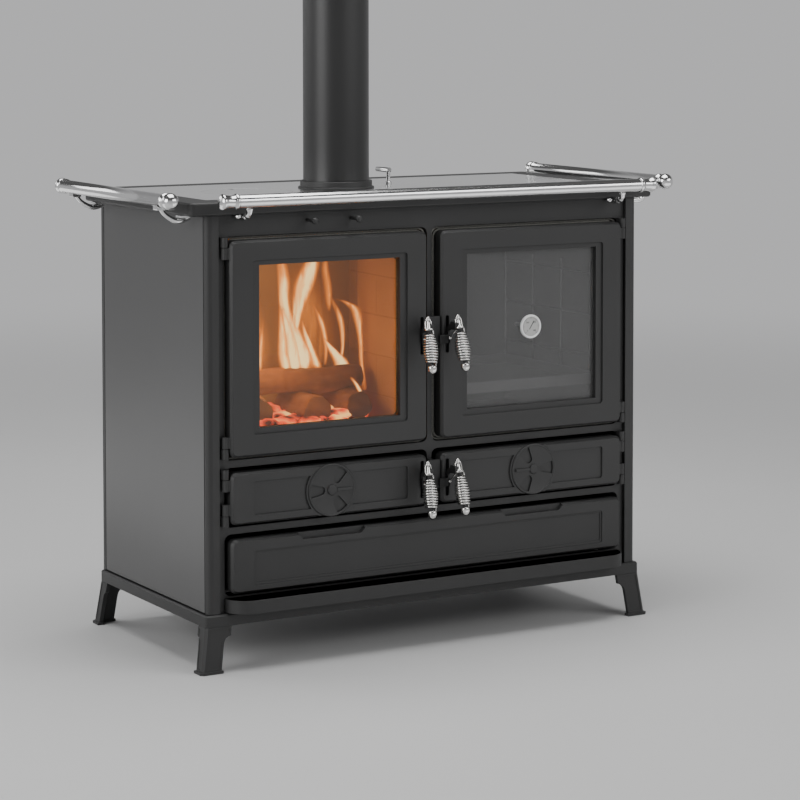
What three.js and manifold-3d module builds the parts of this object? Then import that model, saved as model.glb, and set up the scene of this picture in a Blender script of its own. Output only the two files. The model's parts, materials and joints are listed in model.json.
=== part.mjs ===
// Wood cookstove: a cast and sheet-metal body on four splayed feet, with fire, oven, ash and
// soot doors, a wood drawer, a ground hob plate with its flue, and towel rails on three sides.
// Millimetres, Z up, the floor at z = 0, the middle of the body at x = 0, the front towards -Y.

import * as THREE from 'three';
import { mergeVertices } from 'three/addons/utils/BufferGeometryUtils.js';
import Module from 'manifold-3d';

const wasm = await Module();
wasm.setup();

// ---------------------------------------------------------------- driving dimensions

const fitGap = 0.3; // between pieces that touch
const runningGap = 0.4; // round a stem that turns or slides
const sheet = 3; // body sheet metal
const seam = 2; // shadow joint round the side panels

const footHeight = 85;
const plinthHeight = 22;
const plinthTop = footHeight + plinthHeight;

const bodyHalfWidth = 477;
const postFace = 7;
const bodyBack = 484;
const postWidth = 26;
const postRounding = 12;
const postInner = bodyHalfWidth - postWidth;
const sideFront = postFace + postRounding;
const sideBack = bodyBack - 12;

const plinthHalfWidth = bodyHalfWidth + 6;
const plinthFront = postFace - 4;
const plinthBack = bodyBack + 3;

// The openings of the front frame.
const frameFront = postFace + 8;
const frameBack = frameFront + 10;
const openingSide = postInner - 12.5;
const mullionHalf = 5;
const bigOpening = [390, 805];
const smallOpening = [265, 376];
const drawerOpening = [plinthTop + 30, smallOpening[0] - 13];

const hobUnderside = 845;
const hobTop = hobUnderside + 25;
const hobHalfWidth = bodyHalfWidth + 36;
const hobFront = postFace - 8;
const hobBack = bodyBack + 4;
const hobBorder = 62;
const hobPlateHalfWidth = hobHalfWidth - hobBorder;
const hobPlateFront = hobFront + hobBorder;
const hobPlateBack = hobBack - 53;
const hobPlateThickness = 8;

// The doors and the drawer stand in their openings with these reveals.
const revealBelow = 6.6;
const revealAbove = 7.2;
const revealHinge = 4.7;
const revealCatch = 10.4;
const doorFace = frameFront - 21;
const doorBack = frameFront + 5;
const doorOuter = openingSide - revealHinge;
const doorInner = mullionHalf + revealCatch;
const doorMiddleX = (doorOuter + doorInner) / 2;
const panelOuter = doorOuter - 45.8;
const panelInner = doorInner + 44.6;
const bigDoor = standingIn(bigOpening);
const smallDoor = standingIn(smallOpening);
const drawerFace = standingIn(drawerOpening);

const hingeX = doorOuter + 7.2;
const hingeY = frameFront - 10;
const knuckleRadius = 6.5;
const hingePinRadius = 3;

const catchX = doorInner + 12.6;
const catchSlotWidth = 8;
const catchY = doorFace + 5;
const catchAboveMiddle = 6.8;
const catchZ = middleOf(bigDoor) + catchAboveMiddle;
const lowerCatchZ = middleOf(smallDoor) + catchAboveMiddle;
const catchPinRadius = 2;

const registerZ = middleOf(smallDoor);
const registerRadius = 50;

const lidX = -hobPlateHalfWidth + 166;
const lidY = hobPlateFront + 164;
const lidRadius = 88;

const flueX = -82;
const flueY = hobPlateFront + 177;
const flueRadius = 65;
const flueWall = 2;
const flueLength = 500;

const damperX = 60;
const damperY = flueY + 42;
const damperRadius = 4;

const railRadius = 12.5;
const railZ = hobTop + 4;
const sideRailX = hobHalfWidth + 35;
const frontRailY = hobFront - 51;

function standingIn([low, high]) {
  return [low + revealBelow, high - revealAbove];
}

function middleOf([low, high]) {
  return (low + high) / 2;
}

// ---------------------------------------------------------------- looks

const castBlack = { color: 0x343434, roughness: 0.6, metalness: 0.5 };
const sheetBlack = { color: 0x3a3a3a, roughness: 0.5, metalness: 0.4 };
const brightSteel = { color: 0xc9c9cc, roughness: 0.22, metalness: 1 };
const groundSteel = { color: 0xa8a8a8, roughness: 0.38, metalness: 0.9 };
const darkGlass = { color: 0x2c2c2c, roughness: 0.05, metalness: 0 };
const firebrick = { color: 0xb39a78, roughness: 0.95, metalness: 0 };
const enamel = { color: 0x4a4a4c, roughness: 0.3, metalness: 0.2 };

// ---------------------------------------------------------------- solids

function signedVolume(position, index) {
  const a = new THREE.Vector3();
  const b = new THREE.Vector3();
  const c = new THREE.Vector3();
  let sum = 0;
  for (let i = 0; i < index.length; i += 3) {
    a.fromBufferAttribute(position, index[i]);
    b.fromBufferAttribute(position, index[i + 1]);
    c.fromBufferAttribute(position, index[i + 2]);
    sum += a.dot(b.cross(c));
  }
  return sum / 6;
}

// A closed geometry as a solid, with its faces turned outwards.
function solidOf(geometry) {
  const bare = geometry.clone();
  bare.deleteAttribute('normal');
  bare.deleteAttribute('uv');
  const merged = mergeVertices(bare, 1e-3);
  const position = merged.getAttribute('position');
  const all = merged.getIndex().array;
  const index = [];
  for (let i = 0; i < all.length; i += 3) {
    const [a, b, c] = [all[i], all[i + 1], all[i + 2]];
    if (a !== b && b !== c && c !== a) index.push(a, b, c);
  }
  if (signedVolume(position, index) < 0) index.reverse();
  return new wasm.Manifold(new wasm.Mesh({
    numProp: 3,
    vertProperties: new Float32Array(position.array),
    triVerts: new Uint32Array(index),
  }));
}

function geometryOf(solid) {
  const mesh = solid.getMesh();
  const geometry = new THREE.BufferGeometry();
  geometry.setAttribute('position', new THREE.BufferAttribute(mesh.vertProperties, 3));
  geometry.setIndex(new THREE.BufferAttribute(mesh.triVerts, 1));
  return geometry;
}

function join(...pieces) {
  return geometryOf(pieces.map(solidOf).reduce((whole, piece) => whole.add(piece)));
}

function cut(base, ...tools) {
  return geometryOf([base, ...tools].map(solidOf).reduce((rest, tool) => rest.subtract(tool)));
}

function common(a, b) {
  return geometryOf(solidOf(a).intersect(solidOf(b)));
}

function box(x0, x1, y0, y1, z0, z1) {
  const geometry = new THREE.BoxGeometry(x1 - x0, y1 - y0, z1 - z0);
  return geometry.translate((x0 + x1) / 2, (y0 + y1) / 2, (z0 + z1) / 2);
}

function mirrored(geometry) {
  return geometry.clone().applyMatrix4(new THREE.Matrix4().makeScale(-1, 1, 1));
}

// ---------------------------------------------------------------- outlines

function corners(...pairs) {
  return pairs.map(([x, y]) => new THREE.Vector2(x, y));
}

// Points on an arc, from one angle to another in degrees, both ends included.
function arc(x, y, radius, from, to, steps) {
  const points = [];
  for (let i = 0; i <= steps; i++) {
    const angle = THREE.MathUtils.degToRad(from + (to - from) * i / steps);
    points.push(new THREE.Vector2(x + radius * Math.cos(angle), y + radius * Math.sin(angle)));
  }
  return points;
}

function circle(x, y, radius, sides) {
  return arc(x, y, radius, 0, 360, sides).slice(0, sides);
}

function rounded(x0, x1, y0, y1, radius, steps = 3) {
  return [
    ...arc(x1 - radius, y0 + radius, radius, -90, 0, steps),
    ...arc(x1 - radius, y1 - radius, radius, 0, 90, steps),
    ...arc(x0 + radius, y1 - radius, radius, 90, 180, steps),
    ...arc(x0 + radius, y0 + radius, radius, 180, 270, steps),
  ];
}

// ---------------------------------------------------------------- shapes from outlines

function extruded(outline, depth) {
  return new THREE.ExtrudeGeometry(new THREE.Shape(outline), { depth, bevelEnabled: false });
}

// An outline in X and Y, raised along Z.
function alongZ(outline, z0, z1) {
  return extruded(outline, z1 - z0).translate(0, 0, z0);
}

// An outline in X and Z, run along Y.
function alongY(outline, y0, y1) {
  return extruded(outline, y1 - y0).rotateX(Math.PI / 2).translate(0, y1, 0);
}

// An outline in Y and Z, run along X.
function alongX(outline, x0, x1) {
  const turn = new THREE.Matrix4().set(0, 0, 1, 0, 1, 0, 0, 0, 0, 1, 0, 0, 0, 0, 0, 1);
  return extruded(outline, x1 - x0).applyMatrix4(turn).translate(x0, 0, 0);
}

// Convex outlines in X and Y with equal counts of points, one at each height, as one body.
function stacked(levels) {
  const count = levels[0].outline.length;
  const last = (levels.length - 1) * count;
  const positions = levels.flatMap(({ outline, at }) => outline.flatMap((p) => [p.x, p.y, at]));
  const index = [];
  for (let start = 0; start < last; start += count) {
    for (let i = 0; i < count; i++) {
      const a = start + i;
      const b = start + (i + 1) % count;
      index.push(a, b, b + count, a, b + count, a + count);
    }
  }
  for (let i = 1; i < count - 1; i++) {
    index.push(0, i + 1, i, last, last + i, last + i + 1);
  }
  const geometry = new THREE.BufferGeometry();
  geometry.setAttribute('position', new THREE.Float32BufferAttribute(positions, 3));
  geometry.setIndex(index);
  return geometry;
}

// A slab in X and Z from the plane y0 to y1, with a chamfer round its front face.
function frontSlab(x0, x1, z0, z1, y0, y1, radius, chamfer) {
  const inset = chamfer * 0.7;
  const slab = stacked([
    { outline: rounded(x0 + inset, x1 - inset, z0 + inset, z1 - inset, radius - inset / 2), at: y0 },
    { outline: rounded(x0, x1, z0, z1, radius), at: y0 + chamfer },
    { outline: rounded(x0, x1, z0, z1, radius), at: y1 },
  ]);
  return slab.applyMatrix4(new THREE.Matrix4().set(1, 0, 0, 0, 0, 0, 1, 0, 0, 1, 0, 0, 0, 0, 0, 1));
}

// A turned piece about the Z axis: pairs of radius and height.
function turned(profile, sides) {
  return new THREE.LatheGeometry(corners(...profile), sides).rotateX(Math.PI / 2);
}

function turnedX(profile, sides) {
  return turned(profile, sides).rotateY(Math.PI / 2);
}

function turnedY(profile, sides) {
  return turned(profile, sides).rotateX(-Math.PI / 2);
}

function barZ(radius, z0, z1, sides = 12) {
  return turned([[0, z0], [radius, z0], [radius, z1], [0, z1]], sides);
}

function barX(radius, x0, x1, sides = 12) {
  return turnedX([[0, x0], [radius, x0], [radius, x1], [0, x1]], sides);
}

function barY(radius, y0, y1, sides = 12) {
  return turnedY([[0, y0], [radius, y0], [radius, y1], [0, y1]], sides);
}

// A round bar along a smooth line through the given points.
function bentBar(points, radius, sides = 8, steps = 8) {
  const path = new THREE.CatmullRomCurve3(points.map((p) => new THREE.Vector3(...p)));
  const shape = new THREE.Shape(circle(0, 0, radius, sides));
  return new THREE.ExtrudeGeometry(shape, { steps, extrudePath: path, bevelEnabled: false });
}

const stove = new THREE.Group();
stove.name = 'wood_cookstove';

function addPart(name, geometry, look) {
  const mesh = new THREE.Mesh(geometryOf(solidOf(geometry)), new THREE.MeshStandardMaterial(look));
  mesh.name = name;
  stove.add(mesh);
}

// ---------------------------------------------------------------- plinth and feet

// A tray with its hollow side down.
const plinthChamfer = 3;
const plinthOutline = (inset) => rounded(
  -plinthHalfWidth + inset, plinthHalfWidth - inset, plinthFront + inset, plinthBack - inset, 7 - inset,
);
addPart('plinth', cut(
  stacked([
    { outline: plinthOutline(0), at: footHeight },
    { outline: plinthOutline(0), at: plinthTop - plinthChamfer },
    { outline: plinthOutline(plinthChamfer), at: plinthTop },
  ]),
  alongZ(plinthOutline(6), footHeight - 1, plinthTop - 5),
), castBlack);

// One cast foot: two flanges that meet at the outer corner, narrowing below a hollow shoulder,
// each with a raised border, leaning outwards to a flat pad.
const footPadHeight = 5;

function flangeOutline(width, neck, bottom, inset) {
  const shoulderTop = footHeight - 18;
  const shoulder = 14;
  const curve = arc(0, 0, 1, 180, 90, 4).map((p) => new THREE.Vector2(
    width - (width - neck) * -p.x - inset,
    shoulderTop - shoulder * (1 - p.y) - inset,
  ));
  return [
    ...corners([inset, bottom + inset], [neck - inset, bottom + inset]),
    ...curve,
    ...corners([width - inset, footHeight - fitGap - inset], [inset, footHeight - fitGap - inset]),
  ];
}

function foot() {
  const [frontWidth, frontNeck] = [53, 40];
  const [sideWidth, sideNeck] = [33, 26];
  const thickness = 8;
  const border = 4;
  const relief = 1.2;
  const facet = 5;
  const [leanX, leanY] = [12, 7];
  const margin = 3;
  const front = cut(
    alongY(flangeOutline(frontWidth, frontNeck, 0, 0), 0, thickness),
    alongY(flangeOutline(frontWidth, frontNeck, footPadHeight, border), -1, relief),
  );
  const side = cut(
    alongX(flangeOutline(sideWidth, sideNeck, 0, 0), 0, thickness),
    alongX(flangeOutline(sideWidth, sideNeck, footPadHeight, border), -1, relief),
  );
  const corner = alongZ(corners([-1, -1], [facet + 1, -1], [-1, facet + 1]), -1, footHeight + 1);
  const lean = new THREE.Matrix4().set(
    1, 0, leanX / footHeight, -leanX,
    0, 1, leanY / footHeight, -leanY,
    0, 0, 1, 0,
    0, 0, 0, 1,
  );
  const [x0, y0] = [-leanX - margin, -leanY - margin];
  const [x1, y1] = [frontNeck - leanX + margin, sideNeck - leanY + margin];
  const across = thickness + 2 * margin;
  const pad = alongZ(corners(
    [x0 + facet, y0], [x1, y0], [x1, y0 + across], [x0 + across, y0 + across],
    [x0 + across, y1], [x0, y1], [x0, y0 + facet],
  ), 0, footPadHeight);
  return join(cut(join(front, side), corner).applyMatrix4(lean), pad);
}

for (const [name, sideX, sideY] of [
  ['leg_front_left', -1, -1], ['leg_front_right', 1, -1],
  ['leg_rear_left', -1, 1], ['leg_rear_right', 1, 1],
]) {
  const placed = foot().applyMatrix4(new THREE.Matrix4().makeScale(-sideX, -sideY, 1));
  const y = sideY < 0 ? plinthFront : plinthBack;
  addPart(name, placed.translate(sideX * plinthHalfWidth, y, 0), castBlack);
}

// ---------------------------------------------------------------- lip in front of the drawer

const lipBottom = plinthTop + 2;
const lipTop = lipBottom + 25;

function lipOutline(inset, back) {
  const half = openingSide + 1.5 - inset;
  const front = frameFront - 45 + inset;
  const bend = 44 - inset;
  return [
    ...corners([-half, back]),
    ...arc(-half + bend, front + bend, bend, 180, 270, 6),
    ...arc(half - bend, front + bend, bend, 270, 360, 6),
    ...corners([half, back]),
  ];
}

addPart('front_lip', cut(
  alongZ(lipOutline(0, frameFront - fitGap), lipBottom, lipTop),
  alongZ(lipOutline(sheet, frameFront + 1), lipBottom + sheet, lipTop + 1),
), castBlack);

// ---------------------------------------------------------------- posts and panels

const bodyBottom = plinthTop + fitGap;
const bodyTop = hobUnderside - fitGap;
const panelBottom = bodyBottom + seam;
const panelTop = bodyTop - seam;
const panelInside = bodyHalfWidth - sheet;
const flangeOutside = panelInside - fitGap;
const flangeInside = flangeOutside - 6;
const backSheetFront = bodyBack - 6;
const backHalfWidth = bodyHalfWidth - 10;
const panelReturn = 26;

// The front post turns the corner and carries a flange behind the side panel.
const frontPost = alongZ([
  ...corners([postInner, sideFront], [postInner, postFace]),
  ...arc(bodyHalfWidth - postRounding, sideFront, postRounding, -90, 0, 5),
  ...corners(
    [flangeOutside, sideFront], [flangeOutside, sideFront + panelReturn],
    [flangeInside, sideFront + panelReturn], [flangeInside, sideFront],
  ),
], bodyBottom, bodyTop);

// The rear post has one flange behind the side panel and one behind the back sheet.
const rearPost = alongZ(corners(
  [bodyHalfWidth, sideBack], [bodyHalfWidth, bodyBack], [backHalfWidth + fitGap, bodyBack],
  [backHalfWidth + fitGap, backSheetFront - fitGap], [postInner, backSheetFront - fitGap],
  [postInner, sideBack], [flangeInside, sideBack], [flangeInside, sideBack - panelReturn],
  [flangeOutside, sideBack - panelReturn], [flangeOutside, sideBack],
), bodyBottom, bodyTop);

addPart('post_front_left', mirrored(frontPost), castBlack);
addPart('post_front_right', frontPost, castBlack);
addPart('post_rear_left', mirrored(rearPost), castBlack);
addPart('post_rear_right', rearPost, castBlack);

const sidePanel = box(
  panelInside, bodyHalfWidth, sideFront + seam, sideBack - seam, panelBottom, panelTop,
);
addPart('side_panel_left', mirrored(sidePanel), sheetBlack);
addPart('side_panel_right', sidePanel, sheetBlack);
addPart('back_panel', box(
  -backHalfWidth, backHalfWidth, backSheetFront, backSheetFront + sheet, panelBottom, panelTop,
), sheetBlack);

// ---------------------------------------------------------------- front frame

// Each door hangs on two stations: a lug above its upper knuckle and one below its lower
// knuckle, each with a pin that reaches into the knuckle.
const hingeStations = [bigDoor, smallDoor].flatMap(([low, high]) => [
  { lug: [high - 12, high + 6.5], knuckle: [high - 34, high - 13] },
  { lug: [low - 2.5, low + 17], knuckle: [low + 18, low + 39] },
]);

function hingeLug({ lug, knuckle }) {
  const pinEnds = [Math.min(lug[0], knuckle[0]), Math.max(lug[1], knuckle[1])];
  return join(
    barZ(knuckleRadius, ...lug, 12).translate(hingeX, hingeY, 0),
    box(hingeX - knuckleRadius, hingeX + knuckleRadius, hingeY, frameFront + 1, ...lug),
    barZ(hingePinRadius, ...pinEnds, 8).translate(hingeX, hingeY, 0),
  );
}

// A T-shaped strike on the mullion, behind the two catch tongues.
function catchStrike(z) {
  return join(
    box(-mullionHalf - 7, mullionHalf + 7, doorFace + 1, hingeY, z - 24, z + 30),
    box(-mullionHalf, mullionHalf, hingeY - 1, frameFront + 1, z - 24, z + 30),
  );
}

const airRodX = [-264, -171];
const airRodZ = bigOpening[1] + 24;
const airRodRadius = 3;

const frameHoles = [
  ...[bigOpening, smallOpening].flatMap((z) => [
    alongY(rounded(-openingSide, -mullionHalf, ...z, 12), frameFront - 1, frameBack + 1),
    alongY(rounded(mullionHalf, openingSide, ...z, 12), frameFront - 1, frameBack + 1),
  ]),
  alongY(rounded(-openingSide, openingSide, ...drawerOpening, 12), frameFront - 1, frameBack + 1),
  ...airRodX.map((x) => (
    barY(airRodRadius + runningGap, frameFront - 1, frameBack + 1).translate(x, 0, airRodZ)
  )),
];

addPart('front_frame', join(
  cut(
    box(-postInner + fitGap, postInner - fitGap, frameFront, frameBack, bodyBottom, bodyTop),
    ...frameHoles,
  ),
  ...hingeStations.map(hingeLug),
  ...hingeStations.map(hingeLug).map(mirrored),
  catchStrike(catchZ),
  catchStrike(lowerCatchZ),
), castBlack);

// ---------------------------------------------------------------- firebox

const chamberFront = frameBack + fitGap;
const chamberBack = bodyBack - 74;
const fireboxWall = 4;
const fireboxX = [-openingSide - 4.5, -mullionHalf - 7];
const fireboxFloor = bigOpening[0] - 6;
const smokeGap = bigOpening[1] - 5;
const insideX = [fireboxX[0] + fireboxWall, fireboxX[1] - fireboxWall];
const insideBack = chamberBack - fireboxWall;
const brickThickness = 25;
const brickFloor = fireboxFloor + fireboxWall + fitGap;
const brickFloorThickness = 30;
const brickTop = smokeGap - 12;
const grateX = [middleOf(insideX) - 100, middleOf(insideX) + 100];
const grateY = [chamberFront + 83, insideBack - 104];

addPart('firebox_shell', cut(
  box(...fireboxX, chamberFront, chamberBack, fireboxFloor, bodyTop),
  box(...insideX, chamberFront - 1, insideBack, fireboxFloor + fireboxWall, hobTop),
  box(insideX[1] - 1, fireboxX[1] + 1, chamberFront - 1, insideBack, smokeGap, hobTop),
  box(grateX[0] + 10, grateX[1] - 10, grateY[0] + 10, grateY[1] - 10, fireboxFloor - 1, brickFloor),
), sheetBlack);

addPart('firebrick_lining', cut(
  box(
    insideX[0] + fitGap, insideX[1] - fitGap, chamberFront + 33, insideBack - fitGap,
    brickFloor, brickTop,
  ),
  box(
    insideX[0] + brickThickness, insideX[1] - brickThickness, chamberFront + 32,
    insideBack - brickThickness, brickFloor + brickFloorThickness, brickTop + 1,
  ),
  box(...grateX, ...grateY, brickFloor - 1, brickFloor + brickFloorThickness + 1),
), firebrick);

const grateRim = 20;
const grateThickness = 20;
const grateSlot = 9;
const grateBar = 13;
const grateSlots = [];
for (let x = grateX[0] + grateRim; x < grateX[1] - grateRim; x += grateSlot + grateBar) {
  grateSlots.push(box(
    x, x + grateSlot, grateY[0] + grateRim, grateY[1] - grateRim,
    brickFloor - 1, brickFloor + grateThickness + 5,
  ));
}
addPart('fire_grate', cut(
  box(
    grateX[0] + 1, grateX[1] - 1, grateY[0] + 1, grateY[1] - 1,
    brickFloor, brickFloor + grateThickness,
  ),
  ...grateSlots,
), castBlack);

// ---------------------------------------------------------------- lower compartments

const deckTop = smallOpening[0] - 7;
const deckBottom = deckTop - 4;
const deckBack = bodyBack - 16;
const drawerFloor = drawerOpening[0] + 11;
const drawerHalfWidth = openingSide - 8.5;
const runnerTop = drawerFloor - 0.5;
const hangerInner = drawerHalfWidth + 10;

// A deck under the ash and soot compartments, with the wall between them, and the two hanging
// sides that carry the drawer on inward ledges.
const hangingSide = join(
  box(hangerInner, hangerInner + 6, chamberFront, deckBack, runnerTop - 5, deckTop),
  box(drawerHalfWidth - 6, hangerInner + 1, chamberFront, deckBack, runnerTop - 5, runnerTop),
);
addPart('lower_deck', join(
  box(-hangerInner - 6, hangerInner + 6, chamberFront, deckBack, deckBottom, deckTop),
  box(-sheet, sheet, chamberFront, deckBack, deckTop - 1, fireboxFloor - 4),
  hangingSide,
  mirrored(hangingSide),
), sheetBlack);

// The ash pan reaches out past the grate on all sides and stays below the firebox floor.
const panSheet = 2;
const panSide = 15;
const panFront = 48;
const panBack = 38;
const panTop = smallOpening[1] - 46;
addPart('ash_pan', cut(
  box(
    grateX[0] - panSide, grateX[1] + panSide, grateY[0] - panFront, grateY[1] + panBack,
    deckTop + fitGap, panTop,
  ),
  box(
    grateX[0] - panSide + panSheet, grateX[1] + panSide - panSheet,
    grateY[0] - panFront + panSheet, grateY[1] + panBack - panSheet,
    deckTop + panSheet, panTop + 1,
  ),
), sheetBlack);

// ---------------------------------------------------------------- oven

const ovenX = [mullionHalf + 20, openingSide - 8.5];
const ovenZ = [bigOpening[0], bigOpening[1] - 15];
const ovenBack = bodyBack - 54;
const ovenWall = 4;

addPart('oven_box', cut(
  box(
    ovenX[0] - ovenWall, ovenX[1] + ovenWall, chamberFront, ovenBack + ovenWall,
    ovenZ[0] - ovenWall, ovenZ[1] + ovenWall,
  ),
  box(...ovenX, chamberFront - 1, ovenBack, ...ovenZ),
), enamel);

// A side rack of wire: uprights against the wall and runners that carry trays.
const rackWire = 3;
const rackFront = chamberFront + 73;
const rackBack = ovenBack - 10;
const runnerHeights = [74, 130, 213, 298].map((above) => ovenZ[0] + above);
const rackUprights = [0, 1 / 3, 2 / 3, 1].map((t) => rackFront + (rackBack - rackFront) * t);

function rack(wallX, inward) {
  const uprightX = wallX + inward * (rackWire + fitGap);
  const runnerX = uprightX + inward * rackWire;
  return join(
    ...rackUprights.map((y) => (
      barZ(rackWire, runnerHeights[0] - 20, runnerHeights[3] + 20, 6).translate(uprightX, y, 0)
    )),
    ...runnerHeights.map((z) => (
      barY(rackWire, rackFront - 10, rackBack + 5, 6).translate(runnerX, 0, z)
    )),
  );
}

addPart('oven_rack_left', rack(ovenX[0], 1), brightSteel);
addPart('oven_rack_right', rack(ovenX[1], -1), brightSteel);

const trayBottom = runnerHeights[0] + rackWire + fitGap;
const trayFront = rackFront - 36;
addPart('oven_shelf', cut(
  box(ovenX[0] + 10, ovenX[1] - 10, trayFront, ovenBack - 20, trayBottom, trayBottom + 22),
  box(
    ovenX[0] + 12, ovenX[1] - 12, trayFront + 2, ovenBack - 22,
    trayBottom + 2, trayBottom + 23,
  ),
), enamel);

// ---------------------------------------------------------------- hob

const hobPlateBottom = hobTop - hobPlateThickness;
const seatMargin = 12;
const hobEdge = 3;
const hobOutline = (inset) => rounded(
  -hobHalfWidth + inset, hobHalfWidth - inset, hobFront + inset, hobBack - inset, 15 - inset, 4,
);
addPart('hob_frame', cut(
  stacked([
    { outline: hobOutline(hobEdge), at: hobUnderside },
    { outline: hobOutline(0), at: hobUnderside + hobEdge },
    { outline: hobOutline(0), at: hobTop - hobEdge },
    { outline: hobOutline(hobEdge), at: hobTop },
  ]),
  box(
    -hobPlateHalfWidth - fitGap, hobPlateHalfWidth + fitGap,
    hobPlateFront - fitGap, hobPlateBack + fitGap, hobPlateBottom - fitGap, hobTop + 1,
  ),
  box(
    -hobPlateHalfWidth + seatMargin, hobPlateHalfWidth - seatMargin,
    hobPlateFront + seatMargin, hobPlateBack - seatMargin, hobUnderside - 1, hobTop,
  ),
), castBlack);

const seatDepth = 1; // the flue collar and the damper's washer stand in shallow seats
const lidSeat = 6;
const lidLedge = hobPlateBottom + 4;
const collarRadius = flueRadius + 10;
const washerRadius = damperRadius + 3;
addPart('hob_plate', cut(
  box(
    -hobPlateHalfWidth, hobPlateHalfWidth, hobPlateFront, hobPlateBack, hobPlateBottom, hobTop,
  ),
  barZ(lidRadius + fitGap, lidLedge - fitGap, hobTop + 1, 28).translate(lidX, lidY, 0),
  barZ(lidRadius - lidSeat, hobPlateBottom - 1, hobTop, 28).translate(lidX, lidY, 0),
  barZ(flueRadius - 3, hobPlateBottom - 1, hobTop + 1, 24).translate(flueX, flueY, 0),
  barZ(collarRadius + fitGap, hobTop - seatDepth, hobTop + 1, 24).translate(flueX, flueY, 0),
  barZ(damperRadius + runningGap, hobPlateBottom - 1, hobTop + 1, 16)
    .translate(damperX, damperY, 0),
  barZ(washerRadius + runningGap, hobTop - seatDepth, hobTop + 1, 16)
    .translate(damperX, damperY, 0),
), groundSteel);

addPart('hob_lid', cut(
  turned([
    [0, hobPlateBottom], [lidRadius - lidSeat - 1, hobPlateBottom], [lidRadius - lidSeat - 1, lidLedge],
    [lidRadius, lidLedge], [lidRadius, hobTop], [0, hobTop],
  ], 28),
  box(-4, 4, lidRadius - 28, lidRadius - 12, hobTop - 5, hobTop + 1),
).translate(lidX, lidY, 0), groundSteel);

// ---------------------------------------------------------------- flue

const collarShoulder = hobTop + 6;
const collarFloor = hobTop - seatDepth + fitGap;
addPart('flue_collar', turned([
  [flueRadius - 5, collarFloor], [collarRadius, collarFloor], [collarRadius, hobTop + 3],
  [flueRadius + 6, hobTop + 4], [flueRadius + 6, hobTop + 15], [flueRadius + fitGap, hobTop + 15],
  [flueRadius + fitGap, collarShoulder], [flueRadius - 5, collarShoulder],
  [flueRadius - 5, collarFloor],
], 24).translate(flueX, flueY, 0), castBlack);

const flueBottom = collarShoulder + fitGap;
addPart('flue_pipe', turned([
  [flueRadius - flueWall, flueBottom], [flueRadius, flueBottom],
  [flueRadius, flueBottom + flueLength], [flueRadius - flueWall, flueBottom + flueLength],
  [flueRadius - flueWall, flueBottom],
], 24).translate(flueX, flueY, 0), sheetBlack);

// ---------------------------------------------------------------- flue damper

// A stem through the hob plate, turned by a cross bar above and carrying a flap below.
const damperBarZ = hobTop + 28;
const flapBottom = smokeGap;
const flapTop = hobPlateBottom - 6;
addPart('damper_handle', join(
  barZ(damperRadius, flapBottom - 4, damperBarZ, 10).translate(damperX, damperY, 0),
  barZ(washerRadius, hobTop - seatDepth + runningGap, hobTop + 5, 10)
    .translate(damperX, damperY, 0),
  barY(5, damperY - 6, damperY + 46, 12).translate(damperX, 0, damperBarZ),
), brightSteel);

addPart('damper_flap', cut(
  join(
    box(damperX - 45, damperX + 45, damperY - 1.5, damperY + 1.5, flapBottom, flapTop),
    barZ(damperRadius + 3, flapBottom, flapTop, 10).translate(damperX, damperY, 0),
  ),
  barZ(damperRadius + 0.05, flapBottom - 1, flapTop + 1, 10).translate(damperX, damperY, 0),
), sheetBlack);

// ---------------------------------------------------------------- air control rods

const knob = frameFront - 36;
for (const [name, x] of [['air_rod_left', airRodX[0]], ['air_rod_right', airRodX[1]]]) {
  addPart(name, turnedY([
    [0, knob], [4.5, knob + 1], [6.5, knob + 4], [6.5, knob + 8], [4.5, knob + 11],
    [airRodRadius, knob + 12], [airRodRadius, frameBack + 45], [0, frameBack + 45],
  ], 14).translate(x, 0, airRodZ), castBlack);
}

// ---------------------------------------------------------------- towel rails

const frontRailEnd = bodyHalfWidth + 2;
const frontRailProfile = [
  [railRadius, -41], [14.5, -39], [14.5, -30], [10, -27], [10, -19], [14, -17], [15, -12],
  [14, -6], [9, -1.5], [0, 0],
].map(([r, x]) => [r, frontRailEnd + x]);
addPart('rail_front', turnedX([
  ...frontRailProfile.toReversed().map(([r, x]) => [r, -x]),
  ...frontRailProfile,
], 12).translate(0, frontRailY, railZ), brightSteel);

// A side rail ends in a large ball at the front and a small one at the back.
const sideRailFront = hobFront - 7;
const sideRailBack = hobBack + 30;
const sideRail = turnedY([
  ...[
    [0, 0], [6.5, 1.4], [12, 5.5], [15.3, 11.5], [16, 17], [14.5, 23], [10.5, 27.5], [10.5, 31],
    [14.5, 33], [14.5, 39], [railRadius, 41],
  ].map(([r, y]) => [r, sideRailFront + y]),
  ...[
    [railRadius, -28], [14.5, -26], [14.5, -20], [10.5, -18], [13, -15], [15.5, -10],
    [13.5, -4.5], [8, -1.5], [0, 0],
  ].map(([r, y]) => [r, sideRailBack + y]),
], 12).translate(sideRailX, 0, railZ);
addPart('rail_left', mirrored(sideRail), brightSteel);
addPart('rail_right', sideRail, brightSteel);

// ---------------------------------------------------------------- rail brackets

const bracketTop = hobUnderside - fitGap;
const railSaddle = railRadius + fitGap;

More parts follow.
